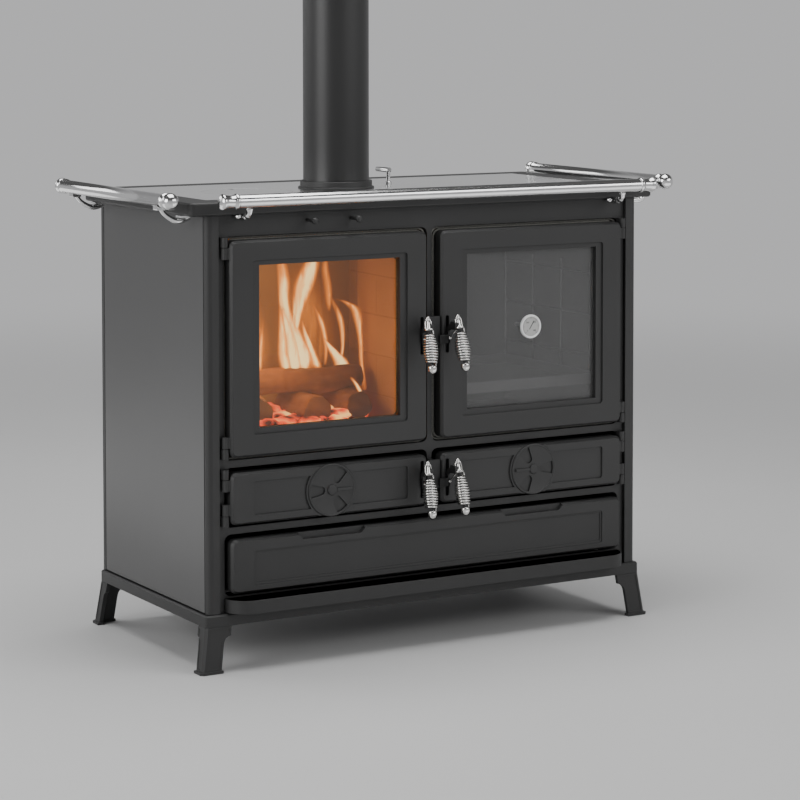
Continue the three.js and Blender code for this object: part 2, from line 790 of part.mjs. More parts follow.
// A side bracket: a foot under the hob overhang, a bent arm that dips below the hob's edge and
// rises to the rail, and a saddle that the rail lies in.
function sideBracket(y) {
  const footX = [bodyHalfWidth + 3, hobHalfWidth - 2];
  const stem = [sideRailX - 9, sideRailX + 9];
  const armRadius = 5.5;
  const armLow = bracketTop - armRadius - 4;
  return cut(
    join(
      box(...footX, y - 10, y + 10, bracketTop - 4, bracketTop),
      bentBar([
        [footX[0] + 8, y, bracketTop - armRadius], [footX[0] + 20, y, armLow],
        [hobHalfWidth + 4, y, armLow], [sideRailX - 12, y, armLow + 11],
        [sideRailX - 1, y, railZ - 12],
      ], armRadius, 8, 7),
      box(...stem, y - 9, y + 9, bracketTop + 11, railZ - 6),
    ),
    barY(railSaddle, y - 12, y + 12, 24).translate(sideRailX, 0, railZ),
  );
}

// A front bracket: a round base under the hob edge and a bent stem up to the rail.
function frontBracket(x) {
  const base = bracketTop - 7;
  return cut(
    join(
      turned([[0, base], [9, base], [11, base + 2.5], [11, bracketTop], [0, bracketTop]], 16)
        .translate(x, hobFront + 4, 0),
      bentBar([
        [x, hobFront + 4, base + 1], [x, hobFront - 17, base + 3],
        [x, frontRailY + 14, base + 12], [x, frontRailY + 3, railZ - 7],
      ], 5.5, 10, 8),
    ),
    barX(railSaddle, x - 12, x + 12, 24).translate(0, frontRailY, railZ),
  );
}

const frontBracketX = hobPlateHalfWidth - 40;
const sideBracketY = [hobFront + 56, hobBack - 43];
addPart('bracket_front_left', frontBracket(-frontBracketX), brightSteel);
addPart('bracket_front_right', frontBracket(frontBracketX), brightSteel);
for (const [place, y] of [['front', sideBracketY[0]], ['rear', sideBracketY[1]]]) {
  addPart(`bracket_left_${place}`, mirrored(sideBracket(y)), brightSteel);
  addPart(`bracket_right_${place}`, sideBracket(y), brightSteel);
}

// ---------------------------------------------------------------- doors

const glassPlane = doorBack - 12;
const glassThickness = 4;
const glassLap = 8;
const mouldingZ = [bigDoor[0] + 41, bigDoor[1] - 37.5];
const sightX = [-panelOuter + 14.5, -panelInner - 14.6];
const sightZ = [mouldingZ[0] + 11.4, mouldingZ[1] - 9.3];

function doorKnuckle({ knuckle }) {
  return cut(
    join(
      barZ(knuckleRadius, ...knuckle, 12).translate(-hingeX, hingeY, 0),
      box(-hingeX, -doorOuter + 1, hingeY - 5, hingeY + 5, ...knuckle),
    ),
    barZ(hingePinRadius + fitGap, knuckle[0] - 1, knuckle[1] + 1, 10).translate(-hingeX, hingeY, 0),
  );
}

// The slot in the inner stile and the pin on which the catch turns.
function withCatchSlot(door, z) {
  const [left, right] = [-catchX - catchSlotWidth / 2, -catchX + catchSlotWidth / 2];
  const slot = alongY(
    rounded(left, right, z - 41.5, z + 31, catchSlotWidth / 2 - 0.1, 4),
    doorFace - 1, doorFace + 10,
  );
  const catchPin = barX(catchPinRadius, left - 1, right + 1).translate(0, catchY, z);
  return join(cut(door, slot), catchPin);
}

// The left-hand glazed door: stepped moulding, sight opening and a rebate for the glass.
const glazedDoor = withCatchSlot(join(
  cut(
    frontSlab(-doorOuter, -doorInner, ...bigDoor, doorFace, doorBack, 11, 6),
    alongY(rounded(-panelOuter, -panelInner, ...mouldingZ, 6), doorFace - 1, doorFace + 4),
    box(...sightX, doorFace - 1, doorBack + 1, ...sightZ),
    box(
      sightX[0] - glassLap, sightX[1] + glassLap, glassPlane - fitGap, doorBack + 1,
      sightZ[0] - glassLap, sightZ[1] + glassLap,
    ),
  ),
  ...hingeStations.slice(0, 2).map(doorKnuckle),
), catchZ);

const pane = box(
  sightX[0] - glassLap + 1, sightX[1] + glassLap - 1, glassPlane, glassPlane + glassThickness,
  sightZ[0] - glassLap + 1, sightZ[1] + glassLap - 1,
);

addPart('fire_door', glazedDoor, castBlack);
addPart('fire_glass', pane, darkGlass);
addPart('oven_door', mirrored(glazedDoor), castBlack);

// The thermometer sits on the oven glass with its probe through a hole.
const dialX = doorMiddleX;
const dialZ = middleOf(bigDoor) + 3;
const probeRadius = 4;
addPart('oven_glass', cut(
  mirrored(pane),
  barY(probeRadius + fitGap, glassPlane - 1, glassPlane + glassThickness + 1)
    .translate(dialX, 0, dialZ),
), darkGlass);
addPart('oven_thermometer', turnedY([
  [0, glassPlane - 4.4], [20.5, glassPlane - 4.4], [21, glassPlane - 6], [22.4, glassPlane - 6],
  [23.3, glassPlane - 4.8], [23.3, glassPlane - fitGap], [probeRadius, glassPlane - fitGap],
  [probeRadius, glassPlane + 52], [0, glassPlane + 53],
], 16).translate(dialX, 0, dialZ), brightSteel);

// ---------------------------------------------------------------- small doors and registers

const registerSeat = doorFace + 2.5;
const wheelFront = doorFace - 1;
const studRadius = 4;
const wheelRim = registerRadius - 1;
const wedgeReach = registerRadius - 5;

// A wedge opening of the air register, pointing along an angle.
function wedge(degrees, y0, y1) {
  const outline = [
    ...arc(0, 0, wedgeReach, -16, 16, 3),
    ...arc(23, 0, 8, 105, 255, 5),
  ];
  return alongY(outline, y0, y1).rotateY(-THREE.MathUtils.degToRad(degrees));
}

// The left-hand small door: recessed panel, a round boss with a seat for the register, and
// wedge openings that the register covers at rest.
const smallPanelZ = [smallDoor[0] + 16.5, smallDoor[1] - 18];
const smallDoorBody = join(
  cut(
    frontSlab(-doorOuter, -doorInner, ...smallDoor, doorFace, doorBack, 11, 6),
    alongY(rounded(-panelOuter, -panelInner, ...smallPanelZ, 5), doorFace - 1, doorFace + 3.5),
    box(
      -doorOuter + 12, -doorInner - 9, doorBack - 14, doorBack + 1,
      smallDoor[0] + 9, smallDoor[1] - 9,
    ),
  ),
  common(
    barY(registerRadius + 4, doorFace, doorFace + 6, 28).translate(-doorMiddleX, 0, registerZ),
    box(
      -doorMiddleX - registerRadius - 10, -doorMiddleX + registerRadius + 10,
      doorFace - 4, doorFace + 7, smallDoor[0] + 2, smallDoor[1] - 2,
    ),
  ),
);
const airDoor = withCatchSlot(join(
  cut(
    smallDoorBody,
    barY(registerRadius + 0.6, doorFace - 1, registerSeat, 28).translate(-doorMiddleX, 0, registerZ),
    ...[0, 120, 240].map((angle) => (
      wedge(angle, doorFace + 1, doorFace + 13).translate(-doorMiddleX, 0, registerZ)
    )),
  ),
  barY(studRadius, registerSeat - 4, doorFace + 6, 12).translate(-doorMiddleX, 0, registerZ),
  ...hingeStations.slice(2).map(doorKnuckle),
), lowerCatchZ);

// The register: a wheel with a raised rim, a hub over the stud and a finger bar.
const wheelBack = registerSeat - fitGap;
const register = join(
  cut(
    turnedY([
      [0, wheelFront - 3.5], [8.5, wheelFront - 3.5], [10, wheelFront - 2.5], [10, wheelFront],
      [wheelRim - 3, wheelFront], [wheelRim - 2, wheelFront - 1], [wheelRim, wheelFront - 1],
      [registerRadius, wheelFront], [registerRadius, wheelBack], [0, wheelBack],
    ], 28),
    barY(studRadius + fitGap, registerSeat - 4.5, doorFace + 6, 12),
    ...[60, 180, 300].map((angle) => wedge(angle, wheelFront - 5, doorFace + 6)),
  ),
  box(9, wedgeReach - 3, wheelFront - 2.6, wheelFront + 1, -3, 3),
).translate(-doorMiddleX, 0, registerZ);

addPart('ash_door', airDoor, castBlack);
addPart('ash_register', register, castBlack);
addPart('soot_door', mirrored(airDoor), castBlack);
addPart('soot_register', mirrored(register), castBlack);

// ---------------------------------------------------------------- catches with coil grips

// The grip of the left-hand catch runs from a ball at its top to a domed tip.
const gripHead = 34;
const gripReach = 60;
const gripHang = 72;
const gripTop = new THREE.Vector3(-catchX - 5, catchY - gripHead, catchZ + gripHead);
const gripTip = new THREE.Vector3(-catchX - 9, catchY - gripReach, catchZ - gripHang);
const gripLength = gripTop.distanceTo(gripTip);
const collarAt = [23, 26.5];
const domeAt = gripLength - 15;

// Lays a piece made downwards from the origin along the grip.
function alongGrip(geometry) {
  const down = new THREE.Vector3(0, 0, -1);
  const turn = new THREE.Quaternion().setFromUnitVectors(
    down, gripTip.clone().sub(gripTop).normalize(),
  );
  return geometry.applyQuaternion(turn).translate(gripTop.x, gripTop.y, gripTop.z);
}

function gripProfile(pairs) {
  return turned(pairs.map(([radius, below]) => [radius, -below]).reverse(), 8);
}

const gripCore = join(
  gripProfile([
    [0, -1.5], [3.2, 0], [4.3, 3], [3, 6], [2.6, 7], [3.8, collarAt[0]], [8.8, collarAt[0] + 0.5],
    [8.8, collarAt[1]], [4.6, collarAt[1]], [3.4, collarAt[1] + 9], [3.4, domeAt], [8.6, domeAt],
    [9.3, domeAt + 3], [8.4, domeAt + 8], [5.6, domeAt + 12.6], [0, gripLength],
  ]),
  ...[-1, 1].map((side) => bentBar([
    [0, 0, -2.5], [side * 5, 0, -7], [side * 6.3, 0, -15], [side * 6.5, 0, -collarAt[0] - 1],
  ], 1.4, 5, 4)),
);

// The black lever: an eye on the door's pin, a shank to the grip, and a tongue that reaches
// over the strike.
const shankHalf = 2.5;
const shankX = [-catchX - shankHalf, -catchX + shankHalf];
const tongueY = [doorFace - 7, doorFace - 1.3];
const shank = alongX([
  ...arc(catchY, catchZ, 4.5, 60, -120, 6),
  ...corners([catchY - 25, catchZ + 8], [catchY - 25, catchZ + 18], [catchY - 11, catchZ + 13]),
], ...shankX);
const catchLever = cut(
  join(
    shank,
    box(-catchX - 6, -catchX + 4, catchY - 41, catchY - 21, catchZ + 6, catchZ + 21),
    box(...shankX, ...tongueY, catchZ - 22, catchZ + 4),
    box(shankX[0], -mullionHalf - 3, ...tongueY, catchZ - 22, catchZ - 6),
    bentBar([
      [-catchX - 5, catchY - 36, catchZ + 8], [-catchX - 1.5, catchY - 29, catchZ + 1],
      [-catchX - 0.5, catchY - 19, catchZ - 8], [-catchX, catchY - 11, catchZ - 12],
    ], 1.8, 6, 5),
    new THREE.SphereGeometry(3.4, 8, 6).translate(-catchX, catchY - 14, catchZ - 11.5),
    alongGrip(gripCore),
  ),
  barX(catchPinRadius + fitGap, -catchX - 4, -catchX + 4).translate(0, catchY, catchZ),
);

// The coil: one wire wound round the grip core, wider towards its lower part. Each end turns
// off the winding and runs straight into the flat face that it meets.
const wireRadius = 1.75;
const wireSides = 5;
const stepsPerCurl = 8;
const curls = 11;
const endBend = 2.6;
const endStraight = 2 * wireRadius;

function coilCentreLine() {
  const start = collarAt[1] + fitGap;
  const end = domeAt - fitGap;
  const lead = endStraight + endBend;
  const wound = end - start - 2 * lead;
  const radiusAt = (t) => 6.4 + 7.2 * Math.sin(Math.PI * (0.12 + t * 0.66)) ** 1.5;
  const points = [];
  const push = (radius, angle, below) => points.push(new THREE.Vector3(
    radius * Math.cos(angle), radius * Math.sin(angle), -below,
  ));
  const bendAngles = [90, 60, 30].map(THREE.MathUtils.degToRad);
  const firstRadius = radiusAt(0);
  const firstAngle = -endBend / firstRadius;
  push(firstRadius, firstAngle, start);
  push(firstRadius, firstAngle, start + endStraight);
  for (const bend of bendAngles.slice(1)) {
    const round = (1 - Math.sin(bend)) * endBend / firstRadius;
    push(firstRadius, firstAngle + round, start + endStraight + endBend * Math.cos(bend));
  }
  for (let i = 0; i <= curls * stepsPerCurl; i++) {
    const t = i / (curls * stepsPerCurl);
    push(radiusAt(t), 2 * Math.PI * curls * t, start + lead + wound * t);
  }
  const lastRadius = radiusAt(1);
  const lastAngle = 2 * Math.PI * curls + endBend / lastRadius;
  for (const bend of bendAngles.slice(1).reverse()) {
    const round = (1 - Math.sin(bend)) * endBend / lastRadius;
    push(lastRadius, lastAngle - round, end - endStraight - endBend * Math.cos(bend));
  }
  push(lastRadius, lastAngle, end - endStraight);
  push(lastRadius, lastAngle, end);
  return points;
}

// A tube round a centre line whose section keeps one side away from the grip's axis.
function woundTube(points) {
  const positions = [];
  const index = [];
  const last = points.length - 1;
  points.forEach((point, i) => {
    const before = points[Math.max(i - 1, 0)];
    const after = points[Math.min(i + 1, last)];
    const tangent = after.clone().sub(before).normalize();
    if (i <= 1 || i >= last - 1) tangent.set(0, 0, -1);
    const outward = new THREE.Vector3(point.x, point.y, 0);
    outward.addScaledVector(tangent, -outward.dot(tangent)).normalize();
    const across = tangent.clone().cross(outward);
    for (let side = 0; side < wireSides; side++) {
      const angle = 2 * Math.PI * side / wireSides;
      const corner = point.clone()
        .addScaledVector(outward, wireRadius * Math.cos(angle))
        .addScaledVector(across, wireRadius * Math.sin(angle));
      positions.push(corner.x, corner.y, corner.z);
    }
  });
  for (let i = 0; i < last; i++) {
    for (let side = 0; side < wireSides; side++) {
      const a = i * wireSides + side;
      const b = i * wireSides + (side + 1) % wireSides;
      index.push(a, b, b + wireSides, a, b + wireSides, a + wireSides);
    }
  }
  for (let side = 1; side < wireSides - 1; side++) {
    const end = last * wireSides;
    index.push(0, side + 1, side, end, end + side, end + side + 1);
  }
  const geometry = new THREE.BufferGeometry();
  geometry.setAttribute('position', new THREE.Float32BufferAttribute(positions, 3));
  geometry.setIndex(index);
  return geometry;
}

// The least clear distance between two curls, on points of the centre line.
function leastCoilGap(points) {
  let least = Infinity;
  for (let i = 0; i < points.length; i++) {
    for (let j = i + stepsPerCurl / 2; j < points.length; j++) {
      least = Math.min(least, points[i].distanceTo(points[j]));
    }
  }
  return least - 2 * wireRadius;
}

const coilLine = coilCentreLine();
console.log(`least gap between curls: ${leastCoilGap(coilLine).toFixed(2)} mm`);
const gripCoil = alongGrip(woundTube(coilLine));

const lowerDrop = lowerCatchZ - catchZ;
addPart('fire_lever', catchLever, brightSteel);
addPart('fire_coil', gripCoil, brightSteel);
addPart('oven_lever', mirrored(catchLever), brightSteel);
addPart('oven_coil', mirrored(gripCoil), brightSteel);
addPart('ash_lever', catchLever.clone().translate(0, 0, lowerDrop), brightSteel);
addPart('ash_coil', gripCoil.clone().translate(0, 0, lowerDrop), brightSteel);
addPart('soot_lever', mirrored(catchLever).translate(0, 0, lowerDrop), brightSteel);
addPart('soot_coil', mirrored(gripCoil).translate(0, 0, lowerDrop), brightSteel);

// ---------------------------------------------------------------- wood drawer

const drawerBack = doorBack - 6;
const notchX = [doorMiddleX - 72, doorMiddleX + 69];
const notchBottom = drawerFace[1] - 12;
const boxTop = drawerFace[1] - 5;
const boxEnd = bodyBack - 70;

// A finger notch in the top edge, with slanted ends.
function fingerNotch(from, to) {
  return alongY(corners(
    [from, drawerFace[1] + 1], [from, drawerFace[1] - 4], [from + 9, notchBottom],
    [to - 9, notchBottom], [to, drawerFace[1] - 4], [to, drawerFace[1] + 1],
  ), doorFace - 1, doorFace + 9);
}

const drawerPanelZ = [drawerFace[0] + 13.2, drawerFace[1] - 22.8];
addPart('drawer_front', cut(
  frontSlab(-doorOuter, doorOuter, ...drawerFace, doorFace, drawerBack, 11, 6),
  alongY(rounded(-panelOuter, panelOuter, ...drawerPanelZ, 5), doorFace - 1, doorFace + 2),
  alongY(
    rounded(-panelOuter + 4, panelOuter - 4, drawerPanelZ[0] + 5, drawerPanelZ[1] - 4, 3),
    doorFace - 1, doorFace + 3.5,
  ),
  box(
    -doorOuter + 12, doorOuter - 12, doorFace + 14, drawerBack + 1,
    drawerFace[0] + 9, notchBottom - 9,
  ),
  fingerNotch(...notchX),
  mirrored(fingerNotch(...notchX)),
), castBlack);

addPart('drawer_box', cut(
  box(-drawerHalfWidth, drawerHalfWidth, drawerBack + fitGap, boxEnd, drawerFloor, boxTop),
  box(
    -drawerHalfWidth + 2, drawerHalfWidth - 2, drawerBack + fitGap + 2, boxEnd - 2,
    drawerFloor + 2, boxTop + 1,
  ),
), sheetBlack);

// ---------------------------------------------------------------- origin

// The origin lies on the floor under the middle of the whole stove.
const bounds = new THREE.Box3().setFromObject(stove);
const middle = bounds.getCenter(new THREE.Vector3());
for (const mesh of stove.children) {
  mesh.geometry.translate(-middle.x, -middle.y, -bounds.min.z);
}

export default stove;
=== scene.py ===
"""Wood cookstove with glazed fire and oven doors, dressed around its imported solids.

Metres, Z up, the floor at z = 0, the doors towards -Y. Lengths are written in millimetres,
with y counted from the plane of the door fronts."""

import json
from math import cos, exp, pi, radians, sin, sqrt, tau

import bmesh
import bpy
from mathutils import Matrix, Vector, noise

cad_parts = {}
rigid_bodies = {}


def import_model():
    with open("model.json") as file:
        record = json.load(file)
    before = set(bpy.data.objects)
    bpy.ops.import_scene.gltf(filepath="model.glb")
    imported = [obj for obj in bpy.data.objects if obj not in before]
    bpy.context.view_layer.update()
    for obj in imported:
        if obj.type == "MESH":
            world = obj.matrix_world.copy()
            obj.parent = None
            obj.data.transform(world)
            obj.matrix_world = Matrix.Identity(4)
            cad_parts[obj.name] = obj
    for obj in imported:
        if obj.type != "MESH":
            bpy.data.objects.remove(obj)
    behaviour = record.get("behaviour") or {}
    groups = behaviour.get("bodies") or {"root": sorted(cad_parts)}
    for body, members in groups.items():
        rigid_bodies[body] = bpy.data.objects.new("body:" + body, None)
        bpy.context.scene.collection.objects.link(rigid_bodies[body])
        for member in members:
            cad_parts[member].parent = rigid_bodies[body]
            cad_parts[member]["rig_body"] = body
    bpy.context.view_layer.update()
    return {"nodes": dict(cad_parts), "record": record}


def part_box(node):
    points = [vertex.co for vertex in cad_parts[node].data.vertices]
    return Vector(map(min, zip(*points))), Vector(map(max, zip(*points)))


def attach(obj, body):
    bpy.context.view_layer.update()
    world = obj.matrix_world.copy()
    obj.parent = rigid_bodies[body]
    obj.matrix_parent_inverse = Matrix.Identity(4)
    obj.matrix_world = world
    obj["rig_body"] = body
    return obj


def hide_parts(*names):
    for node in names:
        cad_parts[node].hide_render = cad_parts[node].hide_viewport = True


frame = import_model()
MM = 0.001

# ------------------------------------------------------------ camera
# One lens position fitted to the straight edges of the stove, with its optical centre above
# the middle of the picture, as in a view camera whose back stays upright.
PLINTH_SETBACK = 3
DOOR_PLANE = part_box("plinth")[0].y / MM - PLINTH_SETBACK
CAMERA_FROM_DOORS = (-2598.6, -4404.9, 1231.7)
CAMERA_YAW = 30.584
CAMERA_PITCH = 3.373
IMAGE_SIZE = 800
FOCAL_PIXELS = 2682.8
OPTICAL_CENTRE = (435.4, 161.9)
SENSOR = 36.0


def at(x, y, z):
    """A place in millimetres, y from the door plane, as a point of the scene."""
    return Vector((x, y + DOOR_PLANE, z)) * MM


def placed(name, data):
    """A new object of the scene."""
    thing = bpy.data.objects.new(name, data)
    bpy.context.scene.collection.objects.link(thing)
    return thing


camera_data = bpy.data.cameras.new("camera")
camera_data.sensor_width = SENSOR
camera_data.lens = FOCAL_PIXELS * SENSOR / IMAGE_SIZE
camera_data.shift_x = (IMAGE_SIZE / 2 - OPTICAL_CENTRE[0]) / IMAGE_SIZE
camera_data.shift_y = (OPTICAL_CENTRE[1] - IMAGE_SIZE / 2) / IMAGE_SIZE
camera = placed("camera", camera_data)
camera.location = at(*CAMERA_FROM_DOORS)
camera.rotation_euler = (radians(90 - CAMERA_PITCH), 0, -radians(CAMERA_YAW))
bpy.context.scene.camera = camera

# ------------------------------------------------------------ plinth and feet
# The base is a hollow tray casting on four splayed feet of grey iron. All of it is fettled and
# sprayed with heat-proof black; the mould and the paint leave small round edges.


def linear(hex_colour):
    """An sRGB hex colour as linear RGBA."""
    parts = [int(hex_colour[i:i + 2], 16) / 255 for i in (1, 3, 5)]
    lit = [c / 12.92 if c <= 0.04045 else ((c + 0.055) / 1.055) ** 2.4 for c in parts]
    return (*lit, 1.0)


def add(tree, kind, inputs=None, **settings):
    """A node with its settings; each input takes a value, another node or a node's output."""
    made = tree.nodes.new(kind)
    for name, value in settings.items():
        setattr(made, name, value)
    for name, source in (inputs or {}).items():
        if isinstance(source, bpy.types.Node):
            source = source.outputs[0]
        if isinstance(source, bpy.types.NodeSocket):
            tree.links.new(source, made.inputs[name])
        else:
            made.inputs[name].default_value = source
    return made


def reckon(tree, operation, first, second):
    return add(tree, "ShaderNodeMath", {0: first, 1: second}, operation=operation)


def clouds(tree, place, scale, detail=3.0, **more):
    """Noise with so many features to the metre."""
    return add(tree, "ShaderNodeTexNoise",
               {"Scale": scale, "Detail": detail, "Vector": place, **more})


def shades(tree, share, low, high):
    """The colour that lies between two by a share."""
    return add(tree, "ShaderNodeMix", {0: share, 6: low, 7: high}, data_type="RGBA").outputs[2]


def blank_material(name):
    """An empty node material, with its tree and the object's own coordinates."""
    material = bpy.data.materials.new(name)
    material.use_nodes = True
    tree = material.node_tree
    tree.nodes.clear()
    return material, tree, tree.nodes.new("ShaderNodeTexCoord").outputs["Object"]


def finished(material, kind, inputs):
    """The material, with a surface of this kind."""
    tree = material.node_tree
    add(tree, "ShaderNodeOutputMaterial", {"Surface": add(tree, kind, inputs)})
    return material


def textured(name, dark, light, drift_mm, grain_mm, depth_mm, rough, stretch=(1, 1, 1), **shader):
    """A surface whose colour drifts between two shades, with a fine grain in height and gloss."""
    material, tree, place = blank_material(name)
    drift = clouds(tree, place, 1 / (drift_mm * MM))
    drawn = add(tree, "ShaderNodeMapping", {"Scale": stretch, "Vector": place})
    grain = clouds(tree, drawn, 1 / (grain_mm * MM), 4.0, Roughness=0.6)
    return finished(material, "ShaderNodeBsdfPrincipled", {
        **shader,
        "Base Color": shades(tree, drift, linear(dark), linear(light)),
        "Roughness": add(tree, "ShaderNodeMapRange", {0: grain, 3: rough[0], 4: rough[1]}),
        "Normal": add(tree, "ShaderNodeBump",
                      {"Strength": 0.5, "Distance": depth_mm * MM, "Height": grain}),
    })


# Matt stove paint on sand-cast iron: soft highlights over a faint grain of about 1.5 mm.
cast_paint = textured("stove paint on cast iron", "#232323", "#2a2a2a", 110, 1.5, 0.10,
                      (0.44, 0.58), IOR=1.5)


def solid_copy(node):
    """The node's own solid as a new mesh, its loose triangles welded into flat faces."""
    mesh = frame["nodes"][node].data.copy()
    work = bmesh.new()
    work.from_mesh(mesh)
    bmesh.ops.remove_doubles(work, verts=work.verts, dist=1e-6)
    bmesh.ops.dissolve_limit(
        work, angle_limit=radians(1.0), verts=work.verts, edges=work.edges,
    )
    for face in work.faces:
        face.smooth = True
    work.to_mesh(mesh)
    work.free()
    mesh.materials.clear()
    return mesh


def link(name, mesh, material):
    mesh.materials.append(material)
    return placed(name, mesh)


def goes_with(piece, node):
    """The piece moves with the node's body."""
    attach(piece, frame["nodes"][node]["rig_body"])
    return piece


def stands_for(piece, node):
    """The piece takes the node's place and moves with its body."""
    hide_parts(node)
    return goes_with(piece, node)


def round_edges(piece, radius_mm, segments=2, angle=28):
    piece.data.set_sharp_from_angle(angle=radians(angle))
    bevel = piece.modifiers.new("edge", "BEVEL")
    bevel.width = radius_mm * MM
    bevel.segments = segments
    bevel.limit_method = "ANGLE"
    bevel.angle_limit = radians(angle)
    bevel.harden_normals = True
    bevel.use_clamp_overlap = True
    return piece


def rounded_copy(node, name, material, radius_mm, segments=2, angle=28):
    """A node's solid with its sharp edges rounded, standing for the node."""
    piece = link(name, solid_copy(node), material)
    return stands_for(round_edges(piece, radius_mm, segments, angle), node)


rounded_copy("plinth", "plinth_casting", cast_paint, 1.5)
for corner in ("front_left", "front_right", "rear_left", "rear_right"):
    rounded_copy(f"leg_{corner}", f"foot_{corner}", cast_paint, 0.4)

# ------------------------------------------------------------ lip
# A shallow tray of cast iron along the front catches ash and sparks. It is painted black and
# bolted to the frame.
rounded_copy("front_lip", "ash_lip", cast_paint, 1.2)

# ------------------------------------------------------------ posts and panels
# Cast corner posts hold the side and back sheets of 3 mm steel, which are sprayed satin black
# and so look smoother and lighter than the castings. Pan-head screws hold the back sheet.
sheet_paint = textured("satin paint on steel sheet", "#3a3a3a", "#424242", 260, 2.5, 0.03,
                       (0.30, 0.40), IOR=1.5)
zinc_screw = textured("zinc-plated screw", "#8b8b8b", "#a5a5a5", 6, 1.0, 0.02,
                      (0.32, 0.45), Metallic=1.0)

for corner in ("front_left", "front_right", "rear_left", "rear_right"):
    rounded_copy(f"post_{corner}", f"corner_post_{corner}", cast_paint, 0.9)
for panel in ("side_panel_left", "side_panel_right", "back_panel"):
    rounded_copy(panel, f"{panel}_sheet", sheet_paint, 0.7)


def screw_tree():
    """Pan heads on the points of a mesh: a domed head with a cross cut into it."""
    tree = bpy.data.node_groups.new("pan head screws", "GeometryNodeTree")

    def socket(name, kind, in_out="INPUT"):
        return tree.interface.new_socket(name, in_out=in_out, socket_type=f"NodeSocket{kind}")

    socket("Places", "Geometry")
    socket("Head Radius", "Float").default_value = 4 * MM
    socket("Head Height", "Float").default_value = 2 * MM
    socket("Turn", "Vector")
    socket("Metal", "Material")
    socket("Screws", "Geometry", "OUTPUT")
    given = tree.nodes.new("NodeGroupInput").outputs
    radius, height = given["Head Radius"], given["Head Height"]
    ball_head = add(tree, "GeometryNodeMeshUVSphere", {"Segments": 14, "Rings": 8, "Radius": 1.0})
    shape = add(tree, "ShaderNodeCombineXYZ", {0: radius, 1: radius, 2: height})
    dome = add(tree, "GeometryNodeTransform", {"Geometry": ball_head, "Scale": shape})
    cross = add(tree, "GeometryNodeMeshBoolean", {"Self Intersection": False, "Mesh 1": dome},
                operation="DIFFERENCE", solver="EXACT")
    rise = add(tree, "ShaderNodeCombineXYZ", {2: height})
    length, width = (reckon(tree, "MULTIPLY", radius, share) for share in (1.5, 0.3))
    for across, along in ((length, width), (width, length)):
        size = add(tree, "ShaderNodeCombineXYZ", {0: across, 1: along, 2: height})
        bar = add(tree, "GeometryNodeMeshCube", {"Size": size})
        cut = add(tree, "GeometryNodeTransform", {"Geometry": bar, "Translation": rise})
        tree.links.new(cut.outputs[0], cross.inputs["Mesh 2"])
    heads = add(tree, "GeometryNodeInstanceOnPoints",
                {"Points": given["Places"], "Instance": cross, "Rotation": given["Turn"]})
    real = add(tree, "GeometryNodeRealizeInstances", {0: heads})
    add(tree, "NodeGroupOutput",
        {0: add(tree, "GeometryNodeSetMaterial", {"Geometry": real, "Material": given["Metal"]})})
    return tree


def evaluated_mesh(piece):
    """A plain mesh of the piece as its modifiers leave it."""
    bpy.context.view_layer.update()
    evaluated = piece.evaluated_get(bpy.context.evaluated_depsgraph_get())
    return bpy.data.meshes.new_from_object(evaluated)


def made_real(piece):
    """The piece with its modifiers taken up into its mesh."""
    mesh = evaluated_mesh(piece)
    piece.modifiers.clear()
    piece.data = mesh
    return piece


pan_heads = screw_tree()


def screws(name, node, places, turn, radius=4.0, height=2.0):
    """Zinc-plated screw heads at these places, on the node that they hold."""
    mesh = bpy.data.meshes.new(name)
    mesh.from_pydata([at(*place) for place in places], [], [])
    piece = placed(name, mesh)
    maker = piece.modifiers.new("screws", "NODES")
    maker.node_group = pan_heads
    given = {"Head Radius": radius * MM, "Head Height": height * MM, "Turn": turn,
             "Metal": zinc_screw}
    for item in pan_heads.interface.items_tree:
        if item.in_out == "INPUT" and item.name in given:
            maker[item.identifier] = given[item.name]
    made_real(piece)
    for face in piece.data.polygons:
        face.use_smooth = True
    piece.data.set_sharp_from_angle(angle=radians(35))
    return goes_with(piece, node)


TURN_BACK = (-pi / 2, 0, 0)
back_rows = [(x, 481, z) for x in (-456, -228, 0, 228, 456) for z in (120, 832)]
back_rows += [(x, 481, z) for x in (-456, 456) for z in (262, 404, 547, 690)]
screws("back_sheet_screws", "back_panel", back_rows, TURN_BACK)

# ------------------------------------------------------------ front frame
# One iron casting, painted black and bolted to the front posts, carries every door on drilled
# lugs with pressed-in steel pins.
rounded_copy("front_frame", "door_frame", cast_paint, 0.9)

# ------------------------------------------------------------ firebox
# A steel shell lined with firebrick over a cast grate. The bricks are soot-stained, and the
# grate lets ash fall to the pan below.
soot_steel = textured("sooty steel", "#1d1a18", "#2b2724", 60, 3, 0.10, (0.7, 0.9), IOR=1.5)


def firebrick_material():
    """Pressed refractory bricks, 230 by 78 mm in face, with thin joints, stained by the fire."""
    material, tree, place = blank_material("firebrick")
    parts = add(tree, "ShaderNodeSeparateXYZ", {0: place}).outputs
    laid = add(tree, "ShaderNodeCombineXYZ",
               {0: reckon(tree, "ADD", parts[0], parts[1]), 1: parts[2]})
    bond = add(tree, "ShaderNodeTexBrick", {
        "Scale": 1.0, "Brick Width": 230 * MM, "Row Height": 78 * MM, "Mortar Size": 1.6 * MM,
        "Mortar Smooth": 0.3, "Color1": linear("#b58a5e"), "Color2": linear("#ab8056"),
        "Mortar": linear("#94704b"), "Vector": laid})
    joints = reckon(tree, "MULTIPLY", bond.outputs["Fac"], -4.0)
    height = reckon(tree, "ADD", joints, clouds(tree, place, 500.0))
    return finished(material, "ShaderNodeBsdfPrincipled", {
        "Base Color": shades(tree, clouds(tree, place, 14.0, 5.0), bond, linear("#94704c")),
        "Roughness": 0.92, "IOR": 1.5,
        "Normal": add(tree, "ShaderNodeBump",
                      {"Strength": 0.4, "Distance": 0.3 * MM, "Height": height}),
    })


